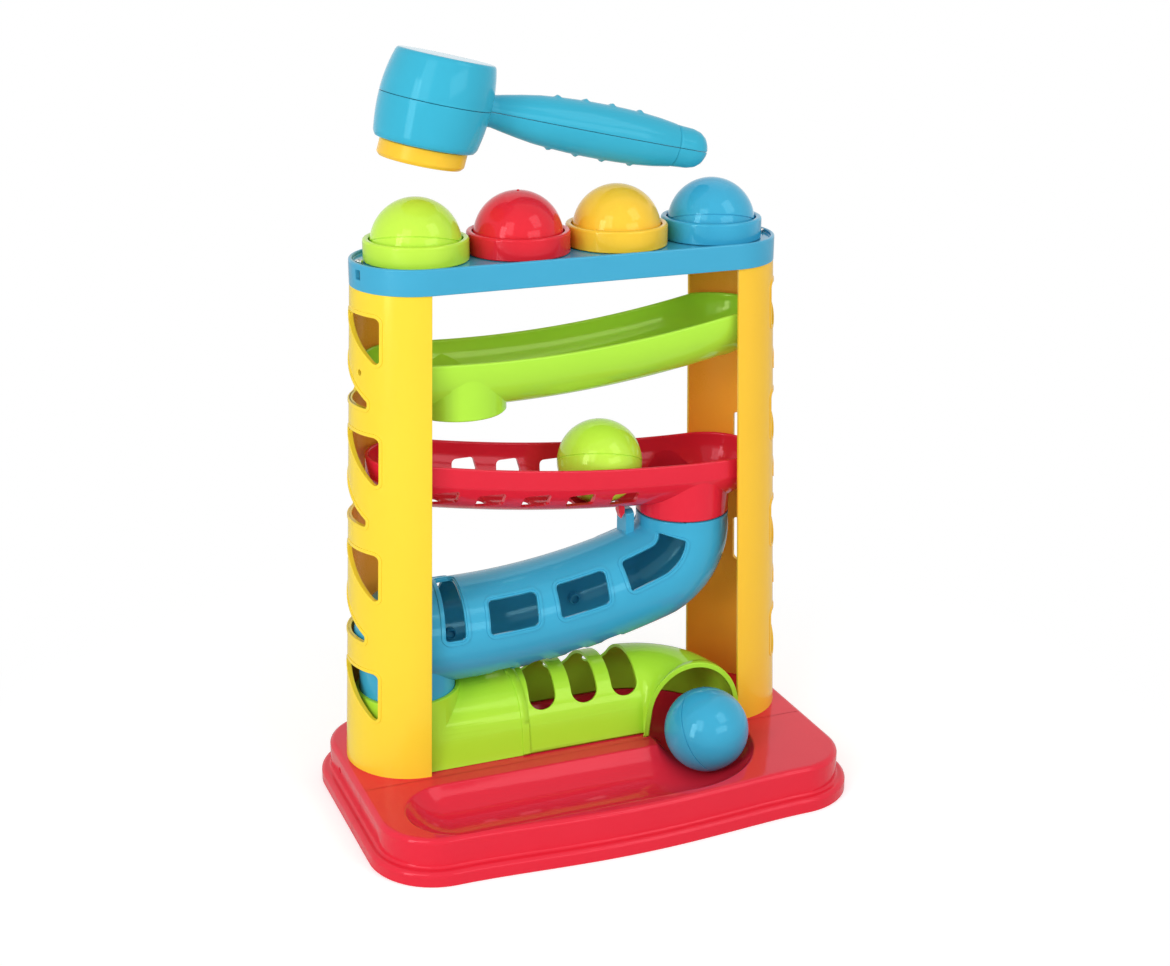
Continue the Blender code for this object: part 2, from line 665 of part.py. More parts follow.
# Gutters: boat-ended channels with a drop spout at the low end
def boat(name, run, radius, top, material=None):
    """The closed solid of a gutter's outside, or of the space inside it, up to a height over its rim."""
    stations = [(-GUTTER_END_CENTRE - share * radius, share * radius) for share in END_SHARES]
    for i in range(8):
        stations.append((GUTTER_END_CENTRE * (2 * i / 7 - 1), 0))
    stations += [(GUTTER_END_CENTRE + share * radius, share * radius) for share in reversed(END_SHARES)]
    rows = []
    for x, shrink in stations:
        bounded = max(-GUTTER_END_CENTRE, min(GUTTER_END_CENTRE, x))
        rim = gutter_rim(bounded, *run)
        bore = math.sqrt(radius**2 - shrink**2)
        row = [(x, -bore, rim + top), (x, bore, rim + top)]
        for i in range(13):
            angle = math.pi * i / 12
            row.append((x, bore * math.cos(angle), rim - GUTTER_SIDE - bore * math.sin(angle)))
        rows.append(row)
    return place(name, loft(name, rows), material)


def gutter(name, run, spout_x, spout_foot, material):
    """A gutter with its spout, hollow and open on top."""
    body = boat(name, run, GUTTER_RADIUS, 0, material)
    middle = gutter_rim(spout_x, *run) - GUTTER_SIDE - CHANNEL_OVERRUN
    join(body, cylinder(name + "_spout", SPOUT_RADIUS, spout_foot, middle, (spout_x, 0)))
    combine(body, boat(name + "_inside", run, GUTTER_BORE, OVERRUN))
    combine(body, cylinder(name + "_bore", SPOUT_BORE, spout_foot - OVERRUN, middle, (spout_x, 0)))
    return body


UPPER_FOOT = COLUMN_FOOT + UPPER_SPOUT_FOOT_SHARE * COLUMN_HEIGHT
MIDDLE_FOOT = COLUMN_FOOT + MIDDLE_SPOUT_FOOT_SHARE * COLUMN_HEIGHT
gutter("upper_gutter", UPPER_RUN, UPPER_SPOUT_X, UPPER_FOOT, plastic("gutter_green", GREEN))
middle = gutter("middle_gutter", MIDDLE_RUN, MIDDLE_SPOUT_X, MIDDLE_FOOT, plastic("gutter_red", DEEP_RED))
for index in range(GUTTER_WINDOW_COUNT):
    x = GUTTER_WINDOW_START + index * GUTTER_WINDOW_PITCH
    for drop, near, away in (
        (GUTTER_WINDOW_FRONT_DROP, -END_RADIUS, 0), (GUTTER_WINDOW_REAR_DROP, 0, END_RADIUS),
    ):
        top = gutter_rim(x, *MIDDLE_RUN) - drop
        combine(middle, block(
            f"gutter_window_{index}", (x - GUTTER_WINDOW_LENGTH / 2, near, top - GUTTER_WINDOW_HEIGHT),
            (x + GUTTER_WINDOW_LENGTH / 2, away, top),
        ))
middle_floor = gutter_rim(GUTTER_BALL_X, *MIDDLE_RUN) - GUTTER_SIDE - GUTTER_BORE
ball("middle_ball", (GUTTER_BALL_X, 0, middle_floor + BALL_RADIUS + GAP), paints["green"])

# Tube: a bent pipe with a round end, a spout down and an inlet up, moulded in an upper and a lower half
TUBE_TOP = MIDDLE_FOOT - GAP
ELBOW_STEPS = 5
ELBOW_WINDOW_STEPS = 4
ELBOW_SWING = TUBE_RADIUS + ELBOW_PIVOT
TUBE_BEND = (
    MIDDLE_SPOUT_X - TUBE_LEVEL_END + ELBOW_SWING * math.sin(ELBOW_TURN) - SPOUT_RADIUS - ELBOW_PIVOT
) / math.tan(ELBOW_TURN)
TUBE_OUTLET_FOOT = TUNNEL_TOP - OUTLET_LAP


def tube_line():
    """Stations of the tube, closed end to inlet: centre x, centre z, heading above level and radius."""
    stations = []
    for share in END_SHARES:
        bore = TUBE_RADIUS * math.sqrt(1 - share**2)
        stations.append((OUTLET_X - share * TUBE_RADIUS, TUBE_LOW_Z, 0, bore))
    stations.append((OUTLET_X, TUBE_LOW_Z, 0, TUBE_RADIUS))
    reach = TUBE_BEND * math.tan(ELBOW_TURN)
    for i in range(6):
        run = reach * i / 5
        height = TUBE_LOW_Z + run**2 / (2 * TUBE_BEND)
        stations.append((TUBE_LEVEL_END + run, height, math.atan(run / TUBE_BEND), TUBE_RADIUS))
    last = stations[-1]
    pivot_x = last[0] - ELBOW_SWING * math.sin(ELBOW_TURN)
    pivot_z = last[1] + ELBOW_SWING * math.cos(ELBOW_TURN)
    for i in range(1, ELBOW_STEPS + 1):
        heading = ELBOW_TURN + (math.pi / 2 - ELBOW_TURN) * i / ELBOW_STEPS
        radius = TUBE_RADIUS + (SPOUT_RADIUS - TUBE_RADIUS) * i / ELBOW_STEPS
        swing = radius + ELBOW_PIVOT
        x = pivot_x + swing * math.sin(heading)
        stations.append((x, pivot_z - swing * math.cos(heading), heading, radius))
    top = max(stations[-1][1], TUBE_TOP) + OVERRUN
    stations.append((MIDDLE_SPOUT_X, top, math.pi / 2, SPOUT_RADIUS))
    return stations


def pipe(name, shrink, lift, material=None):
    """The tube's outside, or with shrink its inside, as a closed solid; lift carries its upper end on."""
    rows = []
    stations = tube_line()
    x, z, heading, radius = stations[-1]
    if lift:
        stations.append((x, z + lift, heading, radius))
    for x, z, heading, radius in stations:
        bore = max(radius - shrink, radius / 4)
        row = []
        for i in range(20):
            turn = 2 * math.pi * i / 20
            rise = bore * math.sin(turn)
            row.append((x - rise * math.sin(heading), bore * math.cos(turn), z + rise * math.cos(heading)))
        rows.append(row)
    if shrink:
        rows[0] = [(x + shrink, y, z) for x, y, z in rows[0]]
    return place(name, loft(name, rows), material)


def tube_height(x):
    """The height of the tube's centre line over a place on its straight part, and its heading there."""
    run = max(0, x - TUBE_LEVEL_END)
    return TUBE_LOW_Z + run**2 / (2 * TUBE_BEND), math.atan(run / TUBE_BEND)


def tube_window(name, start, end, bend_steps=0):
    """A window cutter that follows the tube between two places along it, and on into the elbow."""
    places = [(x, *tube_height(x)) for x in (start, end)]
    if bend_steps:
        straight = len(tube_line()) - ELBOW_STEPS - 1
        places[1:] = [station[:3] for station in tube_line()[straight - 1 : straight + bend_steps]]
    outline = []
    for share, run in ((TUBE_SILL_SHARE, places), (TUBE_WINDOW_SHARE, reversed(places))):
        rise = share * TUBE_RADIUS
        for x, z, heading in run:
            outline.append((x - rise * math.sin(heading), z + rise * math.cos(heading)))
    return outline_block(name, outline, -END_RADIUS - OVERRUN, END_RADIUS + OVERRUN, "Y")


tube_blue = plastic("tube_blue", BLUE)
parting = []
for x, z, heading, radius in tube_line():
    rise = PARTING_SHARE * TUBE_RADIUS
    parting.append((x - rise * math.sin(heading), z + rise * math.cos(heading)))
parting[0] = (parting[0][0] - TUBE_RADIUS, parting[0][1])
parting.append((parting[-1][0], parting[-1][1] + TUBE_RADIUS))
outlet_top = TUBE_LOW_Z - TUBE_WALL
outlet_at = (OUTLET_X, 0)
rest_x = END_CENTRE + END_RADIUS
for name, side in (("tube_upper", 1), ("tube_lower", -1)):
    half = pipe(name, 0, 0, tube_blue)
    join(half, cylinder(name + "_outlet", SPOUT_RADIUS, TUBE_OUTLET_FOOT, outlet_top, outlet_at))
    combine(half, pipe(name + "_inside", TUBE_WALL, OVERRUN))
    combine(half, cylinder(
        name + "_outlet_bore", SPOUT_BORE, TUBE_OUTLET_FOOT - OVERRUN, outlet_top, outlet_at,
    ))
    for index, (start, end) in enumerate(zip(TUBE_WINDOW_STARTS, TUBE_WINDOW_ENDS)):
        bend_steps = ELBOW_WINDOW_STEPS if index == len(TUBE_WINDOW_STARTS) - 1 else 0
        combine(half, tube_window(f"{name}_window_{index}", start, end, bend_steps))
    combine(half, block(
        name + "_crown", (TUBE_CROWN_START, -END_RADIUS, TUBE_LOW_Z + TUBE_SILL_SHARE * TUBE_RADIUS),
        (TUBE_CROWN_END, CROWN_REACH, TUBE_LOW_Z + END_RADIUS),
    ))
    combine(half, block(
        name + "_mouth", (0, -END_RADIUS, TUBE_TOP), (rest_x, END_RADIUS, TUBE_TOP + END_RADIUS),
    ))
    edge = [(x - side * GAP / 2, z + side * GAP / 2) for x, z in parting]
    if side > 0:
        edge += [(rest_x, edge[-1][1]), (rest_x, DECK_HEIGHT), (edge[0][0], DECK_HEIGHT)]
    else:
        edge += [(edge[0][0], edge[-1][1])]
    combine(half, outline_block(name + "_rest", edge, -END_RADIUS - OVERRUN, END_RADIUS + OVERRUN, "Y"))


# Tunnel: a green roof over the path, in an inlet piece with a socket and an exit piece with an elbow
CREASE_RISE = CREASE_HEIGHT - TUNNEL_RISE + TUNNEL_RADIUS
CREASE_HALF = math.sqrt(TUNNEL_RADIUS**2 - CREASE_RISE**2)


def tunnel_row(place_at, half_foot, wall, foot):
    """An arch's outline, straight up to a crease, then round; place_at puts an offset in plan."""
    rise = TUNNEL_RISE - wall
    crown = TUNNEL_RADIUS - wall
    crown_z = DECK_HEIGHT + rise - crown
    crease_half = half_foot - TUNNEL_FOOT_HALF + CREASE_HALF - wall
    start = math.asin(CREASE_RISE / crown)
    points = [(half_foot - wall, foot)]
    for i in range(9):
        angle = start + (math.pi - 2 * start) * i / 8
        across = crease_half * math.cos(angle) / math.cos(start)
        points.append((across, crown_z + crown * math.sin(angle)))
    points.append((wall - half_foot, foot))
    return [place_at(across, height) for across, height in points]


def tunnel(name, start, end, wall, foot, elbow, material=None):
    """The tunnel's outside or inside: straight from start to end, then, with elbow, round to the mouth."""
    rows = []
    for x in (start, end):

        def put(across, height, x=x):
            return (x, -across, height)

        rows.append(tunnel_row(put, TUNNEL_FOOT_HALF, wall, foot))
    if elbow:
        inner = TUNNEL_MOUTH_REACH - TUNNEL_FOOT_HALF
        outer = TUNNEL_MOUTH_REACH + TUNNEL_FOOT_HALF
        for i in range(1, 9):
            turn = math.pi / 2 * i / 8
            near = inner + (TUNNEL_MOUTH_INNER - inner) * i / 8
            away = outer + (TUNNEL_MOUTH_OUTER - outer) * i / 8
            middle = (near + away) / 2

            def swing_out(across, height, middle=middle, turn=turn):
                x = TUNNEL_TURN_X + (middle - across) * math.sin(turn)
                return (x, -TUNNEL_MOUTH_REACH + (middle - across) * math.cos(turn), height)

            rows.append(tunnel_row(swing_out, (away - near) / 2, wall, foot))
        if wall:
            rows.append([(x, y - OVERRUN, height) for x, y, height in rows[-1]])
    return place(name, loft(name, rows), material)


tunnel_green = plastic("tunnel_green", GREEN)
TUNNEL_FOOT = DECK_HEIGHT + GAP
socket_bore = SPOUT_RADIUS + GAP
inlet = tunnel("tunnel_inlet", OUTLET_X, TUNNEL_SEAM_X - GAP / 2, 0, TUNNEL_FOOT, False, tunnel_green)
join(inlet, cylinder(
    "socket", TUNNEL_FOOT_HALF - GAP, TUNNEL_FOOT + GAP, TUNNEL_TOP - GAP, (OUTLET_X, 0),
    top_radius=socket_bore + TUNNEL_WALL,
))
combine(inlet, cylinder(
    "socket_bore", socket_bore, TUNNEL_FOOT - OVERRUN / 2, TUNNEL_TOP + OVERRUN, (OUTLET_X, 0),
))
combine(inlet, tunnel(
    "inlet_inside", OUTLET_X + OVERRUN, TUNNEL_SEAM_X + OVERRUN, TUNNEL_WALL, TUNNEL_FOOT - OVERRUN, False,
))
combine(inlet, block(
    "inlet_rest", (TUNNEL_SEAM_X - GAP / 2, -END_RADIUS, 0), (0, END_RADIUS, TUNNEL_TOP + OVERRUN),
))
exit_start = TUNNEL_SEAM_X + GAP / 2
exit_piece = tunnel("tunnel_exit", exit_start, TUNNEL_TURN_X, 0, TUNNEL_FOOT, True, tunnel_green)
combine(exit_piece, tunnel(
    "exit_inside", TUNNEL_SEAM_X - OVERRUN, TUNNEL_TURN_X, TUNNEL_WALL, TUNNEL_FOOT - OVERRUN, True,
))
for index in range(SLOT_COUNT):
    x = SLOT_START + index * SLOT_PITCH
    combine(exit_piece, block(
        f"tunnel_slot_{index}", (x - SLOT_WIDTH / 2, -END_RADIUS, DECK_HEIGHT + SLOT_SILL),
        (x + SLOT_WIDTH / 2, END_RADIUS, TUNNEL_TOP + OVERRUN),
    ))
exit_turn = math.radians(-24)
exit_x = BEND_CENTRE_X + BEND_RADIUS * math.cos(exit_turn)
exit_y = BEND_RADIUS - TROUGH_REACH + BEND_RADIUS * math.sin(exit_turn)
ball("exit_ball", (exit_x, exit_y, CHANNEL_FLOOR + BALL_RADIUS + GAP), paints["blue"])

# Hammer: a barrel head and a grip in two halves, with a soft striking pad
hammer = empty("hammer", (HAMMER_X, 0, HAMMER_Z), tower)
hammer.rotation_euler.y = HAMMER_TILT
hammer_blue = plastic("hammer_blue", BLUE)
GRIP_COLLAR_SHARE = 0.90
HANDLE_SHARES = (
    (0.14, 0.10), (0.175, 0.0), (0.23, 0.17), (0.295, 0.45), (0.36, 0.69), (0.425, 0.83), (0.49, 0.92),
    (0.62, 1.0), (0.685, 0.95), (0.75, 0.90), (0.81, 0.77), (0.88, 0.53), (0.91, 0.42), (0.945, 0.43),
    (0.975, 0.20), (1.0, -0.60),
)


def grip(name, shrink, material=None):
    """The handle as a closed solid along X, oval, with shrink for the space inside it."""
    rows = []
    for share, swell in HANDLE_SHARES:
        x = share * HANDLE_LENGTH
        if shrink and share > GRIP_COLLAR_SHARE:
            x -= shrink
        half = NECK_HALF + (GRIP_HALF - NECK_HALF) * swell - shrink
        row = []
        for i in range(12):
            turn = math.pi * i / 6
            row.append((x, HANDLE_WIDTH_SHARE * half * math.cos(turn), half * math.sin(turn)))
        rows.append(row)
    return place(name, loft(name, rows), material, parent=hammer)


def barrel(shrink):
    """The head as a closed solid of revolution."""
    half = HEAD_LENGTH / 2 - shrink
    profile = [(0, half)]
    for i in range(7):
        share = 1 - i / 3
        radius = HEAD_MID_RADIUS - (HEAD_MID_RADIUS - HEAD_END_RADIUS) * share**2 - shrink
        profile.append((radius, share * half))
    return profile + [(0, -half)]


for name, side in (("hammer_upper", 1), ("hammer_lower", -1)):
    half = turned(name, barrel(0), 24, hammer_blue, parent=hammer)
    join(half, grip(name + "_grip", 0))
    combine(half, turned(name + "_inside", barrel(HEAD_WALL), 24, parent=hammer))
    combine(half, grip(name + "_grip_inside", HEAD_WALL))
    low, high = sorted((side * GAP / 2, -side * HEAD_LENGTH))
    combine(half, block(
        name + "_rest", (-HEAD_LENGTH, -HEAD_LENGTH, low), (2 * HANDLE_LENGTH, HEAD_LENGTH, high), hammer,
    ))
    if side < 0:
        combine(half, cylinder("spigot_hole", PAD_SPIGOT + GAP, -HEAD_LENGTH, 0, parent=hammer))
face = -HEAD_LENGTH / 2 - GAP
turned(
    "striking_pad",
    [
        (0, face + SPIGOT_LENGTH), (PAD_SPIGOT, face + SPIGOT_LENGTH), (PAD_SPIGOT, face),
        (PAD_RADIUS, face), (PAD_RADIUS, face - PAD_HEIGHT + PAD_EDGE),
        (PAD_RADIUS - PAD_EDGE, face - PAD_HEIGHT), (0, face - PAD_HEIGHT),
    ],
    24, plastic("pad_yellow", ORANGE, 0.4), parent=hammer,
)
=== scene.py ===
import cmath
import math

import bmesh
import bpy
import numpy as np
from mathutils import Matrix, Vector


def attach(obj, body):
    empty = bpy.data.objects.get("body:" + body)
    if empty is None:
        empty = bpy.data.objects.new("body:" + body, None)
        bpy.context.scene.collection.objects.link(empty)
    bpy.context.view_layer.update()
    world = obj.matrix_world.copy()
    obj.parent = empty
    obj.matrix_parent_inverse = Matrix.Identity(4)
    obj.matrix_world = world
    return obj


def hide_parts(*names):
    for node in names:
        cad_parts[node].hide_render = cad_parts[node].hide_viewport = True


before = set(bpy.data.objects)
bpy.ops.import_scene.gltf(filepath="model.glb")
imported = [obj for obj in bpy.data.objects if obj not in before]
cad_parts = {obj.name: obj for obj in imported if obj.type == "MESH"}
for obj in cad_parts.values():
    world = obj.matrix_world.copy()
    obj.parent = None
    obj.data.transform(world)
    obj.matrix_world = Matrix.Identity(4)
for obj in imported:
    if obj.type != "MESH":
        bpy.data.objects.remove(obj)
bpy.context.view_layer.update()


# Base: a stepped tray moulded in two pieces of glossy red plastic that meet along a seam near the front.
# The balls' path is sunk into its deck: a landing under the tunnel, a bend, and the long front trough.
# A matt red plate closes the hollow underside, held by four small steel screws from below.
class Socket:
    """A value inside a material: sums on it add Math nodes, and node() adds any other kind."""

    def __init__(self, tree, out=None):
        self.tree = tree
        self.out = out

    def node(self, kind, settings=None, inputs=None, output=0):
        """A node of a kind, its settings made first, then the values or links of its sockets."""
        made = self.tree.nodes.new("ShaderNode" + kind)
        for name, value in (settings or {}).items():
            setattr(made, name, value)
        for name, value in (inputs or {}).items():
            if isinstance(value, Socket):
                self.tree.links.new(value.out, made.inputs[name])
            else:
                made.inputs[name].default_value = value
        return Socket(self.tree, made.outputs[output])

    def maths(self, operation, *values):
        return self.node("Math", {"operation": operation}, dict(enumerate(values)))

    def __add__(self, other):
        return self.maths("ADD", self, other)

    def __sub__(self, other):
        return self.maths("SUBTRACT", self, other)

    def __rsub__(self, other):
        return self.maths("SUBTRACT", other, self)

    def __mul__(self, other):
        return self.maths("MULTIPLY", self, other)

    __radd__ = __add__
    __rmul__ = __mul__


def moulded(name, colour, deep, glint, roughness=0.10, shine=0.4, ripple=1.0):
    """Injection-moulded plastic: slightly cloudy colour, uneven polish, a faint ripple and fine pits.

    Its highlights take the colour glint.
    """
    finish = bpy.data.materials.new(name)
    finish.use_nodes = True
    tree = finish.node_tree
    shader = tree.nodes["Principled BSDF"]
    paint = Socket(tree)
    where = paint.node("TexCoord", output="Object")
    cloud = paint.node("TexNoise", None, {"Vector": where, "Scale": 22.0, "Detail": 4.0, "Roughness": 0.55})
    waves = paint.node("TexNoise", None, {"Vector": where, "Scale": 75.0, "Detail": 2.0, "Distortion": 0.4})
    pits = paint.node("TexNoise", None, {"Vector": where, "Scale": 1500.0, "Detail": 2.0})
    mottle = paint.maths("SMOOTH_MIN", cloud * 0.9, 1.0, 0.3)
    mixed = paint.node(
        "Mix", {"data_type": "RGBA"}, {0: mottle * 0.5, 6: (*colour, 1), 7: (*deep, 1)}, output=2,
    )
    tree.links.new(mixed.out, shader.inputs["Base Color"])
    uneven = cloud * 0.06 + pits * 0.03 + (roughness - 0.045)
    tree.links.new(uneven.out, shader.inputs["Roughness"])
    height = waves * (0.45 * ripple) + pits * 0.02
    bump = paint.node("Bump", None, {"Height": height, "Strength": 0.35, "Distance": 0.0004})
    tree.links.new(bump.out, shader.inputs["Normal"])
    shader.inputs["Specular IOR Level"].default_value = shine
    shader.inputs["Specular Tint"].default_value = (*glint, 1)
    shader.inputs["IOR"].default_value = 1.5
    return finish


def arc(centre, radius, start, end, steps):
    """Points along an arc in a plane, its angles in degrees, ends included."""
    angles = [math.radians(start + (end - start) * i / steps) for i in range(steps + 1)]
    return [(centre[0] + radius * math.cos(a), centre[1] + radius * math.sin(a)) for a in angles]


def soften(corners, steps=6, closed=True):
    """An outline whose corners, each given with its own radius, are rounded."""
    made = []
    for i, (x, y, radius) in enumerate(corners):
        here = complex(x, y)
        if radius == 0 or (not closed and i in (0, len(corners) - 1)):
            made.append((x, y))
            continue
        before = complex(*corners[i - 1][:2]) - here
        after = complex(*corners[(i + 1) % len(corners)][:2]) - here
        half = abs(cmath.phase(after / before)) / 2
        reach = min(radius / math.tan(half), 0.49 * abs(before), 0.49 * abs(after))
        before, after = before / abs(before), after / abs(after)
        centre = here + (before + after) / abs(before + after) * reach / math.cos(half)
        spoke = here + before * reach - centre
        turn = cmath.phase((here + after * reach - centre) / spoke)
        for k in range(steps + 1):
            point = centre + spoke * cmath.exp(1j * turn * k / steps)
            made.append((point.real, point.imag))
    return made


def closed_mesh(name, points, faces):
    """A mesh from points in millimetres, welded, its faces turned outwards."""
    mesh = bpy.data.meshes.new(name)
    mesh.from_pydata(np.asarray(points, float) * 0.001, [], faces)
    work = bmesh.new()
    work.from_mesh(mesh)
    bmesh.ops.remove_doubles(work, verts=work.verts, dist=2e-6)
    bmesh.ops.dissolve_degenerate(work, edges=work.edges, dist=1e-6)
    bmesh.ops.recalc_face_normals(work, faces=work.faces)
    work.to_mesh(mesh)
    work.free()
    return mesh


def skin(name, rows, caps=(True, True)):
    """Closed rings of points, skinned one after another and closed at the ends."""
    rows = np.array(rows, float)
    index = np.arange(rows.shape[0] * rows.shape[1]).reshape(rows.shape[:2])
    ahead = np.roll(index, -1, axis=1)
    faces = np.stack([index[:-1], ahead[:-1], ahead[1:], index[1:]], -1).reshape(-1, 4).tolist()
    if caps[0]:
        faces.append(index[0][::-1].tolist())
    if caps[1]:
        faces.append(index[-1].tolist())
    return closed_mesh(name, rows.reshape(-1, 3), faces)


def turned(name, profile, steps=96, centre=(0, 0), ring=False):
    """An outline of (radius, height) points turned about an upright axis; a ring's closes on itself."""
    angles = np.arange(steps) * 2 * math.pi / steps
    across, deep = np.cos(angles), np.sin(angles)
    rows = [
        np.stack([centre[0] + r * across, centre[1] + r * deep, np.full(steps, float(z))], -1)
        for r, z in profile
    ]
    if ring:
        rows.append(rows[0])
    return skin(name, rows, (False, False))


def rod(name, start, end, profile, steps=32):
    """A turned shape about any axis: (radius, share of the way from start to end) for each ring of it."""
    start, end = Vector(start), Vector(end)
    aside = (end - start).orthogonal().normalized()
    upright = (end - start).cross(aside).normalized()
    rows = []
    for radius, share in profile:
        middle = start.lerp(end, share)
        rows.append([
            tuple(middle + radius * (math.cos(a) * aside + math.sin(a) * upright))
            for a in np.arange(steps) * 2 * math.pi / steps
        ])
    return skin(name, rows)


def box(low, high):
    """A cutter between two corners."""
    plan = [(low[0], low[1]), (high[0], low[1]), (high[0], high[1]), (low[0], high[1])]
    return skin("box", [[(x, y, z) for x, y in plan] for z in (low[2], high[2])])


def carve(mesh, *others, operation="DIFFERENCE"):
    """The mesh less the others, or joined with them."""
    holders = []
    for shape in (mesh, *others):
        holder = bpy.data.objects.new("carving", shape)
        bpy.context.scene.collection.objects.link(holder)
        holders.append(holder)
    for other in holders[1:]:
        step = holders[0].modifiers.new("step", "BOOLEAN")
        step.operation = operation
        step.solver = "EXACT"
        step.object = other
    made = bpy.data.meshes.new_from_object(holders[0].evaluated_get(bpy.context.evaluated_depsgraph_get()))
    made.name = mesh.name
    for holder in holders:
        bpy.data.objects.remove(holder)
    return made


def round_over(mesh, width, chosen, steps=3, sharper=30):
    """Rounds the sharp edges whose middle, in millimetres, is chosen."""
    work = bmesh.new()
    work.from_mesh(mesh)
    bmesh.ops.remove_doubles(work, verts=work.verts, dist=1e-6)
    edges = [
        edge for edge in work.edges
        if edge.is_manifold and edge.calc_face_angle() > math.radians(sharper)
        and chosen(*((edge.verts[0].co + edge.verts[1].co) * 500))
    ]
    bmesh.ops.bevel(
        work, geom=edges, offset=width * 0.001, offset_type="OFFSET", segments=steps, profile=0.5,
        affect="EDGES", clamp_overlap=False, loop_slide=True,
    )
    work.to_mesh(mesh)
    work.free()
    return mesh


SET_BACK = 26.5


def stand(
    name, mesh, finish, nodes, body="tower", at=(0, SET_BACK, 0), turn=None, bent=False, painted_inside=None,
):
    """A finished piece in its place, riding on its body and shown instead of its plain nodes."""
    made = bpy.data.objects.new(name, mesh)
    bpy.context.scene.collection.objects.link(made)
    made.matrix_world = Matrix.Translation(Vector(at) * 0.001) @ (turn or Matrix.Identity(4))
    if mesh.materials:
        mesh.materials.clear()
    mesh.materials.append(finish)
    # A second material, the painted bounce light of a shell's insides, goes after the first.
    if painted_inside:
        mesh.materials.append(painted_inside)
    mesh.polygons.foreach_set("use_smooth", [True] * len(mesh.polygons))
    if not bent:
        mesh.set_sharp_from_angle(angle=math.radians(34))
        weighted = made.modifiers.new("even_light", "WEIGHTED_NORMAL")
        weighted.keep_sharp = True
    bpy.context.view_layer.update()
    if nodes:
        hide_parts(*nodes)
    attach(made, body)
    return made


BASE_STRAIGHT, BASE_FRONT, BASE_REAR, BASE_CORNER, BASE_BOW = 97, -97.5, 50, 30, 5.5
DECK = 23.6
LANDING, BEND_X, BEND, TROUGH_Y, TROUGH_END = -90, 34, 27.5, -70, -87


def base_outline(grow):
    """The plan of the base, grown outwards by a length: a bowed front and four round corners."""
    corner = BASE_CORNER + grow
    front, rear = BASE_FRONT - grow, BASE_REAR + grow
    points = [(BASE_STRAIGHT * s, front - BASE_BOW * (1 - s**2) ** 2) for s in np.linspace(-1, 1, 49)]
    points += arc((BASE_STRAIGHT, front + corner), corner, -90, 0, 16)[1:]
    points += arc((BASE_STRAIGHT, rear - corner), corner, 0, 90, 16)
    points += arc((-BASE_STRAIGHT, rear - corner), corner, 90, 180, 16)
    points += arc((-BASE_STRAIGHT, front + corner), corner, 180, 270, 16)[:-1]
    return points


def lane(half):
    """The outline of the balls' path at half its width: along one side, round the end and back."""
    first = arc((BEND_X, -BEND), BEND, 90, 0, 16)
    second = arc((BEND_X, TROUGH_Y + BEND), BEND, 0, -90, 16)
    path = [(x, 0, 0) for x in np.linspace(LANDING, BEND_X, 21)]
    path += [(x, y, -i * 90 / 16) for i, (x, y) in enumerate(first)]
    path += [(x, y, -90 - i * 90 / 16) for i, (x, y) in enumerate(second)]
    path += [(x, TROUGH_Y, -180) for x in np.linspace(BEND_X, TROUGH_END, 17)][1:]
    sides = []
    for side in (1, -1):
        sides.append([
            (x - side * half * math.sin(math.radians(h)), y + side * half * math.cos(math.radians(h)))
            for x, y, h in path
        ])
    end = arc((TROUGH_END, TROUGH_Y), half, 270, 90, 24)[1:-1]
    start = arc((LANDING, 0), half, 270, 90, 24)[1:-1]
    return sides[0] + end + sides[1][::-1] + start


def path_hollow():
    """The space sunk into the deck, as round in section as a wide gutter."""
    lip, hollow, above, middle = 1.8, 30.9, 17.3, 40.9
    lip_at = math.sqrt((hollow + lip) ** 2 - (above + lip) ** 2)
    meets = math.degrees(math.asin(lip_at / (hollow + lip)))
    section = [(lip_at, 26.0)] + arc((lip_at, DECK - lip), lip, 90, 90 + meets, 6)
    section += arc((0, middle), hollow, meets - 90 - 3, -90, 14)
    rows = [[(x, y, z) for x, y in lane(half)] for half, z in section]
    return skin("path", rows, (True, False))


RED_GLINT, GREEN_GLINT = (1, 0.42, 0.48), (0.85, 1, 0.45)
YELLOW_GLINT, BLUE_GLINT = (1, 0.88, 0.45), (0.42, 0.88, 1)
base_red = moulded("base_red_gloss", (0.80, 0.024, 0.050), (0.68, 0.016, 0.034), RED_GLINT)
wall = soften([
    (5.0, 0, 0.8), (5.0, 8.0, 2.6), (0, 8.0, 1.4), (0, DECK, 4.2), (-6.0, DECK, 0),
], 7, closed=False)
wall = [(4.4, 0), (5.0, 0.6)] + wall[1:]
for name, low_y, high_y in (("front_tray", -35.85, 130), ("rear_deck", -230, -36.15)):
    tray = skin(name, [[(x, y, z) for x, y in base_outline(grow)] for grow, z in wall])
    recess = skin("recess", [[(x, y, z) for x, y in base_outline(-2.2)] for z in (-2, 3.5)])
    tray = carve(tray, recess, path_hollow(), box((-150, low_y, -5), (150, high_y, 30)))
    if name == "rear_deck":
        dimple = [(1.5, 0), (1.5, 0.8), (0.9, 1)]
        tray = carve(tray, rod("dimple", (-128, 4.4, 15.9), (-125.4, 4.4, 15.9), dimple, 24))
    stand(name, tray, base_red, [name])

cover_red = moulded("cover_red_satin", (0.62, 0.012, 0.018), (0.50, 0.008, 0.010), RED_GLINT, 0.45, 0.3)
cover = skin("base_cover", [
    [(x, y, z) for x, y in base_outline(-2.5 - inset)]
    for inset, z in ((0.5, 0), (0, 0.5), (0, 2.7), (0.5, 3.2))
])
steel = bpy.data.materials.new("screw_steel_plated")
steel.use_nodes = True
paint = Socket(steel.node_tree)
where = paint.node("TexCoord", output="Object")
brushed = paint.node("TexNoise", None, {"Vector": where, "Scale": 2600.0, "Detail": 3.0})
shader = steel.node_tree.nodes["Principled BSDF"]
shader.inputs["Base Color"].default_value = (0.62, 0.61, 0.58, 1)
shader.inputs["Metallic"].default_value = 1.0
steel.node_tree.links.new((brushed * 0.25 + 0.2).out, shader.inputs["Roughness"])


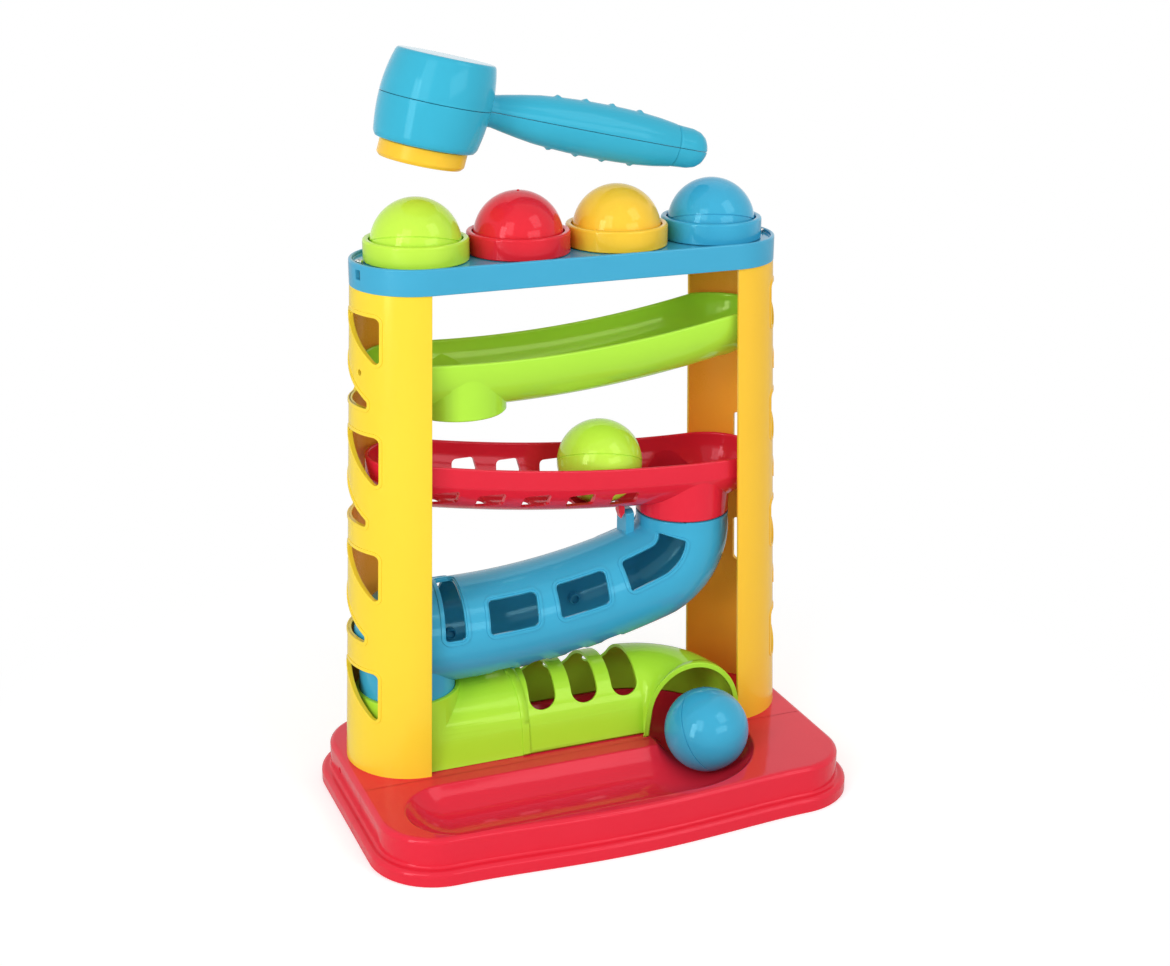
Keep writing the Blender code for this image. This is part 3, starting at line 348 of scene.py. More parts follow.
def screw(name, radius, head, up, at):
    """A pan-headed screw with a cross cut into its head."""
    profile = [(0, 1.6 * up)] + [
        (r, z * up) for r, z in soften([
            (head - 0.8, 1.6, 0), (head, 1.6, 0.9), (head, 0, 0.1), (radius, 0, 0.2),
            (radius, -9.2, 0.1), (0, -10, 0),
        ], 4, closed=False)
    ]
    made = turned(name, profile, 40)
    arm, depth = head * 0.62, 0.9 * up
    low, high = sorted((depth, 3 * up))
    cross = [box((-arm, -0.28, low), (arm, 0.28, high)), box((-0.28, -arm, low), (0.28, arm, high))]
    return stand(name, carve(made, *cross), steel, [name], at=(at[0], SET_BACK + at[1], at[2]))


sinks = []
sink = [(0, -1), (3.1, -1), (3.1, 1.9), (1.8, 1.9), (1.8, 5), (0, 5)]
for front, y in (("front_tray", -42.5), ("rear_deck", 20)):
    for side, x in (("left", -115), ("right", 115)):
        screw(f"cover_screw_{front}_{side}", 1.5, 2.8, -1, (x, y, 1.6))
        sinks.append(turned("sink", sink, 40, (x, y)))
stand("base_cover", carve(cover, *sinks), cover_red, ["base_cover"])


# Tunnel: a lime roof over the landing and the first bend, moulded as an inlet with a round socket for the
# tube and an exit that turns to the front. Both stand on the deck, and three slots in the roof show the ball.
SEAT, INLET_END = 23.9, -35.85


def arch(wall, foot, steps=28):
    """The roof's outline in section, from one foot over the crown to the other, as (across, height)."""
    crown = 28 - wall
    half = arc((0, 34.1), crown, 11.4, 90, steps)
    lean = (30.0 - 27.55) / 15.2
    half = [(30.0 - wall + lean * (SEAT - foot), foot), (27.72 - wall, 38.6), (27.66 - wall, 38.95)] + half
    return half + [(-x, z) for x, z in half[-2::-1]]


tunnel_green = moulded("tunnel_lime_gloss", (0.46, 0.83, 0.045), (0.35, 0.72, 0.028), GREEN_GLINT)
inlet = skin("tunnel_inlet", [[(x, a, z) for a, z in arch(0, SEAT)] for x in (LANDING, INLET_END)])
socket = [(0, 24.2), (29.68, 24.2), (27.36, 61.0), (27.1, 61.6), (26.6, 61.8), (0, 61.8)]
inlet = carve(inlet, turned("socket", socket, 128, (LANDING, 0)), operation="UNION")
inlet = carve(
    inlet,
    turned("bore", [(0, 20), (25.3, 20), (25.3, 70), (0, 70)], 128, (LANDING, 0)),
    skin("inside", [[(x, a, z) for a, z in arch(2, 20)] for x in (-86, -30)]),
    box((INLET_END, -40, 0), (0, 40, 70)),
)
fin = skin("fin", [[(x, y, z) for y, z in soften([
    (-11, 57, 0), (-8.5, 60.6, 1.5), (-6, 62.6, 1.5), (6, 62.6, 1.5), (8.5, 60.6, 1.5), (11, 57, 0),
], 4)] for x in (-37.6, -36.2)])
inlet = carve(inlet, fin, operation="UNION")
stand("tunnel_inlet", inlet, tunnel_green, ["tunnel_inlet"])


def grown(outline, amount):
    """A closed outline moved outwards by an amount, or inwards by a negative one."""
    points = np.array(outline, float)
    along = np.roll(points, -1, axis=0) - points
    along /= np.linalg.norm(along, axis=1, keepdims=True)
    ahead = np.stack([along[:, 1], -along[:, 0]], -1)
    behind = np.roll(ahead, 1, axis=0)
    area = np.sum(points[:, 0] * np.roll(points[:, 1], -1) - np.roll(points[:, 0], -1) * points[:, 1])
    reach = (ahead + behind) / (1 + np.sum(ahead * behind, axis=1, keepdims=True))
    return points + math.copysign(amount, area) * reach


def bent_sheet(name, outline, windows, low, high, edge, across, along, bend, paint_inside=False):
    """A wall laid out flat with round edges and windows, scored both ways and then bent into place.

    bend takes places across, along and out of the flat wall and gives points of the finished one.
    """
    curve = bpy.data.curves.new(name, "CURVE")
    curve.dimensions = "2D"
    curve.fill_mode = "BOTH"
    curve.extrude = (high - low) / 2 - edge
    curve.bevel_depth = edge
    curve.bevel_resolution = 1
    for border in [grown(outline, -edge)] + [grown(window, edge) for window in windows]:
        spline = curve.splines.new("POLY")
        spline.points.add(len(border) - 1)
        for knot, (u, v) in zip(spline.points, border):
            knot.co = (u, v, 0, 1)
        spline.use_cyclic_u = True
    holder = bpy.data.objects.new(name, curve)
    bpy.context.scene.collection.objects.link(holder)
    flat = bpy.data.meshes.new_from_object(holder.evaluated_get(bpy.context.evaluated_depsgraph_get()))
    bpy.data.objects.remove(holder)
    flat.materials.clear()
    work = bmesh.new()
    work.from_mesh(flat)
    bmesh.ops.remove_doubles(work, verts=work.verts, dist=1e-3)
    bmesh.ops.recalc_face_normals(work, faces=work.faces)
    for axis, cuts in ((Vector((1, 0, 0)), across), (Vector((0, 1, 0)), along)):
        for cut in cuts:
            bmesh.ops.bisect_plane(
                work, geom=work.verts[:] + work.edges[:] + work.faces[:], dist=1e-4,
                plane_co=axis * cut, plane_no=axis,
            )
    bmesh.ops.remove_doubles(work, verts=work.verts, dist=0.04)
    bmesh.ops.dissolve_degenerate(work, edges=work.edges, dist=0.01)
    work.normal_update()
    # When asked, the inner faces take the second material, the painted bounce light.
    for face in work.faces:
        face.material_index = 1 if paint_inside and face.normal.z < -0.5 else 0
    work.to_mesh(flat)
    work.free()
    count = len(flat.vertices)
    points = np.empty(count * 3)
    flat.vertices.foreach_get("co", points)
    points = points.reshape(-1, 3)
    faces = np.empty(len(flat.polygons) * 3)
    flat.polygons.foreach_get("normal", faces)
    faces = faces.reshape(-1, 3)
    areas = np.empty(len(flat.polygons))
    flat.polygons.foreach_get("area", areas)
    weights = areas + 1e-6
    weights[np.abs(faces[:, 2]) > 0.999] *= 1e6
    weights[np.abs(faces[:, 2]) < 0.01] *= 1e3
    corners = np.empty(len(flat.loops), int)
    flat.loops.foreach_get("vertex_index", corners)
    totals = np.empty(len(flat.polygons), int)
    flat.polygons.foreach_get("loop_total", totals)
    owner = np.repeat(np.arange(len(totals)), totals)
    normals = np.zeros((count, 3))
    np.add.at(normals, corners, faces[owner] * weights[owner, None])
    points[:, 2] += (high + low) / 2
    step = 0.02
    sides = []
    for axis in range(3):
        ahead, back = points.copy(), points.copy()
        ahead[:, axis] += step
        back[:, axis] -= step
        sides.append(bend(*ahead.T) - bend(*back.T))
    turned_normals = (
        normals[:, :1] * np.cross(sides[1], sides[2]) + normals[:, 1:2] * np.cross(sides[2], sides[0])
        + normals[:, 2:] * np.cross(sides[0], sides[1])
    )
    facing = np.sign(np.median(np.sum(np.cross(sides[0], sides[1]) * sides[2], axis=1)))
    turned_normals *= facing
    turned_normals /= np.linalg.norm(turned_normals, axis=1, keepdims=True) + 1e-12
    flat.vertices.foreach_set("co", (bend(*points.T) * 0.001).ravel())
    if facing < 0:
        flat.flip_normals()
    flat.update()
    flat.polygons.foreach_set("use_smooth", [True] * len(flat.polygons))
    flat.normals_split_custom_set_from_vertices(turned_normals)
    return flat


ROOF = np.array(arch(0, SEAT, 40))
ROOF_RUN = np.concatenate([[0], np.cumsum(np.linalg.norm(np.diff(ROOF, axis=0), axis=1))])
ROOF_RUN -= ROOF_RUN[-1] / 2
ROOF_OUT = np.stack([-np.gradient(ROOF[:, 1], ROOF_RUN), np.gradient(ROOF[:, 0], ROOF_RUN)], -1)
ROOF_OUT *= -1 / np.linalg.norm(ROOF_OUT, axis=1, keepdims=True)
EXIT_START, EXIT_TURN, ELBOW_RUN = -35.55, 33, 53.0
MOUTH = EXIT_TURN + ELBOW_RUN


def roof(u, v, w):
    """The exit: straight to the turn, then round to the mouth at the front, with a raised lip there."""
    lip = 0.9 * np.clip((v - (MOUTH - 4.2)) / 0.5, 0, 1) + 0.55 * np.clip((-31.8 - v) / 0.5, 0, 1)
    w = w + lip * np.clip(w + 1.2, 0, 1)
    across = np.interp(u, ROOF_RUN, ROOF[:, 0]) + w * np.interp(u, ROOF_RUN, ROOF_OUT[:, 0])
    height = np.interp(u, ROOF_RUN, ROOF[:, 1]) + w * np.interp(u, ROOF_RUN, ROOF_OUT[:, 1])
    share = np.clip((v - EXIT_TURN) / ELBOW_RUN, 0, None)
    near, away = 4.0 - 5.0 * share, 64.0 - 8.6 * share
    swing = (near + away) / 2 + across * (away - near) / 60
    turn = share * math.pi / 2
    return np.stack([
        np.where(v < EXIT_TURN, v, EXIT_TURN + swing * np.sin(turn)),
        np.where(v < EXIT_TURN, across, -34 + swing * np.cos(turn)),
        height,
    ], -1)


edge_u = ROOF_RUN[-1]
SILL = float(np.interp(46.2, ROOF[:41, 1], ROOF_RUN[:41]))
SLOT_HALF = 7.4
slots = []
for foot, crown in ((-23.2, -20.6), (1.0, 2.8), (24.4, 25.8)):
    near, far = foot - SLOT_HALF, foot + SLOT_HALF
    slot = soften([(-SILL, near, 7.0), (SILL, near, 7.0), (SILL, far, 7.0), (-SILL, far, 7.0)], 10)
    dense = []
    for (u0, v0), (u1, v1) in zip(slot, slot[1:] + slot[:1]):
        steps = max(1, round(abs(u1 - u0) / 2))
        dense += [(u0 + (u1 - u0) * k / steps, v0 + (v1 - v0) * k / steps) for k in range(steps)]
    slots.append([(u, v + (crown - foot) * math.cos(u / SILL * math.pi / 2)) for u, v in dense])
exit_roof = bent_sheet(
    "tunnel_exit", [(-edge_u, EXIT_START), (edge_u, EXIT_START), (edge_u, MOUTH), (-edge_u, MOUTH)],
    slots, -2.0, 0.0, 0.35,
    list(np.linspace(-edge_u + 1, edge_u - 1, 77)) + list(ROOF_RUN[[1, 2, -3, -2]]),
    [-32.3, -32.05, -31.8] + list(np.linspace(EXIT_TURN, MOUTH - 4.6, 30))
    + [MOUTH - 4.2, MOUTH - 3.95, MOUTH - 3.7, MOUTH - 1.5], roof,
)
stand("tunnel_exit", exit_roof, tunnel_green, ["tunnel_exit"], bent=True)


# Tube: a bent blue pipe that carries the ball from the red gutter down to the tunnel, moulded as an upper and
# a lower half that part along a line over the middle. Its wide windows have raised rims. Drain slots open
# underneath, a tab stands on its crown, and a round spout drops into the tunnel's socket.
tube_blue = moulded("tube_blue_gloss", (0.052, 0.42, 0.65), (0.036, 0.35, 0.57), BLUE_GLINT)
PIPE, LOW, SAG_START = 27.3, 89.8, -62
LEVEL = math.radians(17)
ELBOW_SWING, NARROWING = 28.3, 2.3
RUN_END = 41.0 + ELBOW_SWING * math.sin(LEVEL)
BOW = (RUN_END - SAG_START) / math.tan(LEVEL)
stations = [(x, LOW, 0.0, PIPE) for x in np.linspace(LANDING, SAG_START, 8)[:-1]]
for x in np.linspace(SAG_START, RUN_END, 60):
    rise = (x - SAG_START) ** 2 / (2 * BOW)
    stations.append((x, LOW + rise, math.atan((x - SAG_START) / BOW), PIPE))
pivot = (
    stations[-1][0] - ELBOW_SWING * math.sin(LEVEL),
    stations[-1][1] + ELBOW_SWING * math.cos(LEVEL),
)
for share in np.linspace(0, 1, 40)[1:]:
    heading = LEVEL + (math.pi / 2 - LEVEL) * share
    swing = ELBOW_SWING - NARROWING * share
    stations.append((
        pivot[0] + swing * math.sin(heading), pivot[1] - swing * math.cos(heading),
        heading, PIPE - NARROWING * share,
    ))
last = stations[-1]
stations.append((last[0], 139.7, math.pi / 2, 25.0))
LINE = np.array(stations)
LINE_RUN = np.concatenate([[0], np.cumsum(np.linalg.norm(np.diff(LINE[:, :2], axis=0), axis=1))])


def pipe(u, v, w):
    """Round the tube and along it, with a ball-shaped end beyond its start."""
    x = np.interp(v, LINE_RUN, LINE[:, 0])
    z = np.interp(v, LINE_RUN, LINE[:, 1])
    heading = np.interp(v, LINE_RUN, LINE[:, 2])
    radius = np.interp(v, LINE_RUN, LINE[:, 3]) + w
    dome = np.clip(-v / PIPE, 0, math.pi / 2)
    reach = radius * np.cos(dome)
    x = x - radius * np.sin(dome)
    turn = u / PIPE
    rise = reach * np.sin(turn)
    return np.stack([x - rise * np.sin(heading), -reach * np.cos(turn), z + rise * np.cos(heading)], -1)


PART = math.asin(0.36) * PIPE
HALF_TURN = math.pi * PIPE
TOP_END = LINE_RUN[-1]
DOME_END = -math.pi / 2 * PIPE
WINDOW_TOP = math.asin(0.76) * PIPE
WINDOW_SILL = math.asin(0.13) * PIPE
STRIP_FRONT, STRIP_BACK = math.radians(98) * PIPE, math.radians(121) * PIPE
ELBOW_TOP, ELBOW_SILL = math.radians(57) * PIPE, math.radians(18) * PIPE
STRAIGHT_SILL, STRAIGHT_TOP = (WINDOW_SILL, WINDOW_SILL), (WINDOW_TOP, WINDOW_TOP)
bays = [
    ((12.3, 25.0), (16.5, 27.0), STRAIGHT_SILL, (STRIP_FRONT, STRIP_FRONT), (STRIP_BACK, STRIP_BACK)),
    ((36.9, 65.2), (38.8, 68.4), STRAIGHT_SILL, STRAIGHT_TOP, None),
    ((76.7, 106.2), (78.6, 109.6), STRAIGHT_SILL, STRAIGHT_TOP, None),
    ((118.2, 170.0), (118.8, 172.2), (5.2, ELBOW_SILL), (24.0, ELBOW_TOP), None),
]


def bay_corners(bay, back, top):
    """The two corners of a window at its top or its sill, on the front or the back of the tube."""
    sill_run, top_run, sill, front_top, back_top = bay
    run = top_run if top else sill_run
    turn = front_top if top else sill
    if back:
        turn = back_top if top and back_top else tuple(HALF_TURN - u for u in turn)
    return [(turn[0], run[0]), (turn[1], run[1])]


def notched(start, back, top, around=0.0):
    """An edge along the tube, from the ball-shaped end to the top, with a rounded notch at each window."""
    points = [(start, DOME_END, 0)]
    for bay in bays:
        (u0, v0), (u1, v1) = bay_corners(bay, back, top)
        near, far = (
            (1 - split) * bay[0][i] + split * bay[1][i]
            for i, split in enumerate((PART - bay[2][i]) / (bay[3][i] - bay[2][i]) for i in (0, 1))
        )
        points += [(start, near, 0), (around + u0, v0, 3.6), (around + u1, v1, 3.6), (start, far, 0)]
    points.append((start, TOP_END, 0))
    return points


upper = notched(PART + 0.2, False, True) + notched(HALF_TURN - PART - 0.2, True, True)[::-1]
lines_along = list(np.linspace(DOME_END + 0.5, 0, 22)) + list(np.linspace(4, TOP_END - 1, 56))
tube_top = bent_sheet(
    "tube_upper", soften(upper, 7), [], -2.0, 0.0, 0.4,
    np.linspace(PART + 2, HALF_TURN - PART - 2, 44), lines_along, pipe,
)
stand("tube_upper", tube_top, tube_blue, ["tube_upper"], bent=True)
lower = notched(HALF_TURN - PART + 0.2, True, False)
lower += notched(2 * HALF_TURN + PART - 0.2, False, False, 2 * HALF_TURN)[::-1]
for back in (False, True):
    for number, bay in enumerate(bays):
        (a, b), (c, d) = bay_corners(bay, back, False), bay_corners(bay, back, True)
        window = soften([(*corner, 3.6) for corner in (a, c, d, b)], 7)
        inner, outer = grown(window, -0.1), grown(window, 1.2)
        rim = bent_sheet(
            "tube_rim", outer, [inner], -1.2, 0.55, 0.3, np.linspace(0, HALF_TURN, 49), lines_along, pipe,
        )
        rim_name = f"tube_window_rim_{'back' if back else 'front'}_{number}"
        stand(rim_name, rim, tube_blue, [], bent=True)
BOTTOM = 1.5 * HALF_TURN
drain_corners = ((-20, -5.9), (20, -5.9), (20, 5.9), (-20, 5.9))
drains = [soften([(BOTTOM + u, v + w, 3) for u, w in drain_corners], 5) for v in (47, 67, 87, 107)]
outlet_hole = [
    (BOTTOM + 23.6 * math.cos(a), 23.2 * math.sin(a)) for a in np.linspace(0, 2 * math.pi, 49)[:-1]
]
tube_bottom = bent_sheet(
    "tube_lower", soften(lower, 7), [outlet_hole, *drains], -2.0, 0.0, 0.4,
    np.linspace(HALF_TURN - PART + 2, 2 * HALF_TURN + PART - 2, 70), lines_along, pipe,
)
stand("tube_lower", tube_bottom, tube_blue, ["tube_lower"], bent=True)
angles = np.linspace(0, 2 * math.pi, 97)[:-1]
SPOUT_BORE, SPOUT_OUTER, SPOUT_FOOT, MID_WALL = 23.2, 25.0, 50.6, 26.2
spout_outline = [(SPOUT_BORE, None), (SPOUT_BORE, SPOUT_FOOT + 0.6), (SPOUT_BORE + 0.6, SPOUT_FOOT)]
spout_outline += [(SPOUT_OUTER - 0.6, SPOUT_FOOT), (SPOUT_OUTER, SPOUT_FOOT + 0.6), (SPOUT_OUTER, None)]
spout_outline += [(SPOUT_BORE, None)]
outlet_rows = []
for radius, height in spout_outline:
    if height is None:
        side = LOW - np.sqrt(MID_WALL**2 - (radius * np.sin(angles)) ** 2)
        z = np.where(np.cos(angles) < 0, LOW - math.sqrt(MID_WALL**2 - radius**2), side)
    else:
        z = np.full(96, height)
    outlet_rows.append(np.stack([LANDING + radius * np.cos(angles), radius * np.sin(angles), z], -1))
for number, (x, z) in enumerate(((-59, 76.6), (13, 86.0))):
    peg = [(3.2, 1), (3.2, 0.1), (2.9, 0), (2.3, 0), (2.1, 0.1), (2.1, 0.6)]
    ring = rod("tube_peg", (x, 19.5, z), (x, 23.8, z), peg, 40)
    stand(f"tube_peg_{number}", ring, tube_blue, [])
tab = skin("tube_tab", [[(x, y, z + (0 if z > 135 else 0.277 * (x - 32.3))) for y, z in soften([
    (-4, 128.9, 0), (-4, 141.6, 1.8), (-1, 143.4, 1.5), (6.5, 143.0, 1.5), (8.2, 140, 1.0), (8.2, 127.9, 0),
], 5)] for x in (32.3, 37.0)])
stand("tube_tab", tab, tube_blue, [])
stand("tube_outlet", skin("tube_outlet", outlet_rows, (False, False)), tube_blue, [])


# Columns: two half-round yellow shells, a little wider at the foot, that stand on the deck and carry the
# plate. Slanted windows with raised rims are cut through their round sides. Their insides are painted a
# brighter orange as painted bounce light, and the right shell's more orange yellow is painted shade.
# One plastic, two copies: the right column's more orange copy is painted shade, the left one the lit copy.
column_yellow_lit_and_shaded = {
    "left": moulded("left_column_yellow_painted_lit", (0.94, 0.70, 0.045), (0.92, 0.62, 0.035), YELLOW_GLINT, 0.14),
    "right": moulded("right_column_yellow_painted_shade", (0.96, 0.58, 0.042), (0.93, 0.50, 0.035), YELLOW_GLINT, 0.14),
}
# A brighter, more orange yellow on the shells' inner faces: painted bounce light and light shining through.
column_inside_painted_bounce = moulded(
    "column_inside_painted_bounce_orange", (1.0, 0.44, 0.045), (0.98, 0.38, 0.036), YELLOW_GLINT, 0.28, 0.3,
)
FOOT, TALL, ROUND = SEAT, 252.1, 32


def column_radius(share):
    """The shell's outer radius at a share of its height."""
    return 30.6 + 3.4 * (1 - share)


def column(side):
    """Round the shell and up it, for the left or right end."""

    def shell(u, v, w):
        share = (v - FOOT) / TALL
        turn = u / ROUND
        radius = column_radius(share) + w
        middle = 82 + 7 * (1 - share)
        return np.stack([side * (middle + radius * np.cos(turn)), radius * np.sin(turn), v], -1)

    return shell


def flat_window(corners, share):
    """A window given as seen from the end, laid out on the unrolled shell."""
    radius = column_radius(share)
    dense = []
    outline = soften(corners, 7)
    for (y0, z0), (y1, z1) in zip(outline, outline[1:] + outline[:1]):
        steps = max(1, int(math.hypot(y1 - y0, z1 - z0) / 1.5))
        dense += [(y0 + (y1 - y0) * k / steps, z0 + (z1 - z0) * k / steps) for k in range(steps)]
    return [(ROUND * math.asin(y / radius), z) for y, z in dense]


windows = []
for top, tip in ((264.8, 240.3), (205.2, 178.8), (144.2, 118.0), (80.0, 52.5)):
    share = (top - FOOT) / TALL
    edge = 0.677 * column_radius(share)
    windows.append(flat_window([(-edge, tip, 1.8), (9.5, top, 2.2), (-edge, top, 2.6)], share))
    if top > 100:
        sill = {264.8: 219.0, 205.2: 158.1, 144.2: 95.8}[top]
        corners = [(-15, sill, 1.5), (edge, sill, 2.6), (edge, sill + 27.0, 1.8), (-15, sill + 3.5, 1.5)]
        windows.append(flat_window(corners, share))
screw_hole = [
    (-9.94 + 1.5 * math.cos(a), 236.2 + 1.5 * math.sin(a)) for a in np.linspace(0, 2 * math.pi, 25)[:-1]
]
quarter = ROUND * math.pi / 2
sheet = [(-quarter, FOOT), (quarter, FOOT), (quarter, FOOT + TALL), (-quarter, FOOT + TALL)]
for side, name in ((-1, "left"), (1, "right")):
    shell = bent_sheet(
        name + "_column", sheet, [*windows, screw_hole], -2.2, 0.0, 0.45,
        np.linspace(-quarter + 1, quarter - 1, 60), np.linspace(FOOT + 6, FOOT + TALL - 6, 24),
        column(side), paint_inside=True,
    )
    stand(
        name + "_column", shell, column_yellow_lit_and_shaded[name], [name + "_column"],
        bent=True, painted_inside=column_inside_painted_bounce,
    )
    for number, window in enumerate(windows):
        rim = bent_sheet(
            f"{name}_window_rim_{number}", grown(window, 1.3), [window], -1.2, 0.45, 0.3,
            np.linspace(-quarter, quarter, 60), np.linspace(FOOT, FOOT + TALL, 24), column(side),
        )
        stand(f"{name}_window_rim_{number}", rim, column_yellow_lit_and_shaded[name], [], bent=True)


# Gutters: two boat-shaped channels between the columns, lime above and red below, each with a round spout
# under its low end. The red one has an upright skirt, rows of small windows low in its sides, openings in its
# floor and a small hook underneath.
TROUGH, TROUGH_WALL, HALF_SPAN = 26, 2, 82


def boat(name, level, shell=True, wide=TROUGH, top=0.0, skirt=0.0):
    """A gutter's wall with a round rim and perhaps an upright skirt, or the space inside it as a solid."""
    turns = np.linspace(0, math.pi / 2, 25)
    if shell:
        profile = [(TROUGH - TROUGH * math.sin(a), -TROUGH_WALL - TROUGH * math.cos(a)) for a in turns]
        if skirt:
            deep = TROUGH + TROUGH_WALL - skirt
            last = math.radians(70)
            level_end, upright_end = math.cos(last), math.sin(last)
            profile = []
            for a in np.linspace(0, last, 25):
                drop = deep * (math.cos(a) - level_end) / (1 - level_end)
                profile.append((TROUGH - TROUGH * math.sin(a) / upright_end, -skirt - drop))
        profile += [(0, -1.0), (0.15, -0.45), (0.55, -0.1), (1.0, 0)]
        profile += [(1.45, -0.1), (1.85, -0.45), (2.0, -1.0)]
        inner = TROUGH - TROUGH_WALL
        profile += [(TROUGH - inner * math.sin(a), -TROUGH_WALL - inner * math.cos(a)) for a in turns[::-1]]
    else:
        profile = [(TROUGH - wide * math.sin(a), -TROUGH_WALL - wide * math.cos(a)) for a in turns]
        profile += [(TROUGH - wide, top)]
    along = np.linspace(-HALF_SPAN, HALF_SPAN, 61)
    rows = []
    for inset, drop in profile:
        radius = TROUGH - inset
        ring = [(x, -radius) for x in along] + arc((HALF_SPAN, 0), radius, -90, 90, 36)[1:-1]
        ring += [(x, radius) for x in along[::-1]] + arc((-HALF_SPAN, 0), radius, 90, 270, 36)[1:-1]
        rows.append([(x, y, level(min(HALF_SPAN, max(-HALF_SPAN, x))) + drop) for x, y in ring])
    return skin(name, rows, (False, not shell))


def gutter(name, level, spout_x, foot, skirt=0.0):
    """A gutter joined with its spout and opened into it."""
    middle = level(spout_x) - 3
    round_foot = [(0, foot), (SPOUT_OUTER - 0.6, foot), (SPOUT_OUTER, foot + 0.6)]
    round_foot += [(SPOUT_OUTER, middle), (0, middle)]
    spout = turned(name + "_spout", round_foot, 128, (spout_x, 0))
    spout = carve(spout, boat("inside", level, False, wide=25.0, top=4))
    made = carve(boat(name, level, skirt=skirt), spout, operation="UNION")
    bore = [(0, foot - 5), (SPOUT_BORE, foot - 5), (SPOUT_BORE, middle), (0, middle)]
    return carve(made, turned("bore", bore, 128, (spout_x, 0)))


gutter_green = moulded("gutter_lime_gloss", (0.46, 0.84, 0.060), (0.37, 0.75, 0.042), GREEN_GLINT)
gutter_red = moulded("gutter_red_gloss", (0.80, 0.024, 0.050), (0.68, 0.016, 0.034), RED_GLINT)


def upper_level(x):
    """The height of the lime gutter's rim, sagging between the columns."""
    return 239.1 + (x + 42.2) ** 2 / 1213.4


def middle_level(x):
    """The height of the red gutter's rim, which runs down to the right."""
    return 173.0 + (x - 80) ** 2 / 1618


upper_trough = gutter("upper_gutter", upper_level, -60, 209.8)
stand("upper_gutter", upper_trough, gutter_green, ["upper_gutter"])
middle = gutter("middle_gutter", middle_level, 67, 140.0, 9.5)
openings = []
for x in -74.5 + 24.6 * np.arange(5):
    rim = middle_level(x)
    plan = soften([(x - 6, -5, 2.5), (x + 5, -5, 2.5), (x + 5, 6.5, 2.5), (x - 6, 6.5, 2.5)], 5)
    openings.append(skin("floor_opening", [[(u, v, z) for u, v in plan] for z in (rim - 32, rim - 22)]))
    for y, sill, narrow, round_top in ((-40, 21.5, 0.0, 1.6), (40, 16.4, 1.2, 2.6)):
        top = sill - 7.7
        window = soften([
            (x - 7.25, rim - sill, 1.2), (x + 7.25, rim - sill, 1.2),
            (x + 7.25 - narrow, rim - top, round_top), (x - 7.25 + narrow, rim - top, round_top),
        ], 5)
        openings.append(skin("opening", [[(u, v_y, v) for u, v in window] for v_y in sorted((0, y))]))
stand("middle_gutter", carve(middle, *openings), gutter_red, ["middle_gutter"])
hook_outline = ((28.0, 147.5), (28.0, 143.6), (29.4, 139.6), (31.4, 142.6), (31.4, 147.5))
hook = skin("gutter_hook", [[(x, y, z) for x, z in hook_outline] for y in (-4.0, 0.5)])
stand("gutter_hook", hook, gutter_red, [])


# Top plate: a blue cap that ties the columns together, with a thin raised edge round a recessed floor and a
# hole under each of the four rings.
plate_blue = moulded("plate_blue_gloss", (0.060, 0.40, 0.62), (0.044, 0.33, 0.54), BLUE_GLINT)
PLATE_ROUND, PLATE_STRAIGHT = 32, 80.6
SCREW_PLACES = (-108.2, 108.2)


def bar(inset):
    """The plan of the plate, a bar with round ends, moved in by a length."""
    radius = PLATE_ROUND - inset
    right = arc((PLATE_STRAIGHT, 0), radius, -90, 90, 48)
    return right + arc((-PLATE_STRAIGHT, 0), radius, 90, 270, 48)


section = soften([
    (3.0, 285.4, 0), (2.0, 285.4, 0.5), (2.0, 276.3, 0.5), (0, 276.3, 0.6),
    (0, 289.4, 0.9), (2.0, 289.4, 0.7), (2.0, 287.6, 0.5), (3.0, 287.6, 0),
], 5, closed=False)
plate = skin("top_plate", [[(x, y, z) for x, y in bar(inset)] for inset, z in section])
RING_PLACES = (-79.5, -26.5, 26.5, 79.5)
holes = []
for radius, steps, places in ((24.7, 96, RING_PLACES), (1.2, 24, SCREW_PLACES)):
    hole = [(0, 280), (radius, 280), (radius, 295), (0, 295)]
    holes += [turned("hole", hole, steps, (x, 0)) for x in places]
holes.append(box((-116, -10.4, 281.8), (-106, -6.4, 286.6)))
stand("top_plate", carve(plate, *holes), plate_blue, ["top_plate"])
for side, x in zip(("left", "right"), SCREW_PLACES):
    screw("plate_screw_" + side, 0.9, 2.0, 1, (x, 0, 287.9))


# Rings and balls: each ring is a turned collar that drops through the plate, over a finger collar that grips
# its ball. Each ball is a hollow moulded shell in two halves, with a fine seam where they are welded. Two
# more balls lie on the red gutter and before the tunnel's mouth.
GREEN = moulded("ball_lime_gloss", (0.56, 0.86, 0.070), (0.46, 0.78, 0.050), GREEN_GLINT, 0.08, 0.4, 0.5)
RED = moulded("ball_red_gloss", (0.80, 0.024, 0.040), (0.70, 0.016, 0.028), RED_GLINT, 0.08, 0.4, 0.5)
ORANGE = moulded(
    "ball_orange_yellow_gloss", (0.95, 0.60, 0.045), (0.93, 0.53, 0.036), YELLOW_GLINT, 0.08, 0.4, 0.5,
)
BLUE = moulded("ball_blue_gloss", (0.050, 0.41, 0.64), (0.036, 0.35, 0.57), BLUE_GLINT, 0.08, 0.4, 0.5)
finger_yellow = moulded(
    "finger_yellow_satin", (0.93, 0.56, 0.040), (0.90, 0.50, 0.030), YELLOW_GLINT, 0.40, 0.3,
)
ring_section = soften([
    (23.0, 298.7, 0.9), (26.0, 298.7, 1.2), (26.0, 287.9, 0.5),
    (24.4, 287.9, 0.1), (24.4, 279.6, 0.4), (23.0, 279.6, 0.4),
], 5)


BALL = 22.5


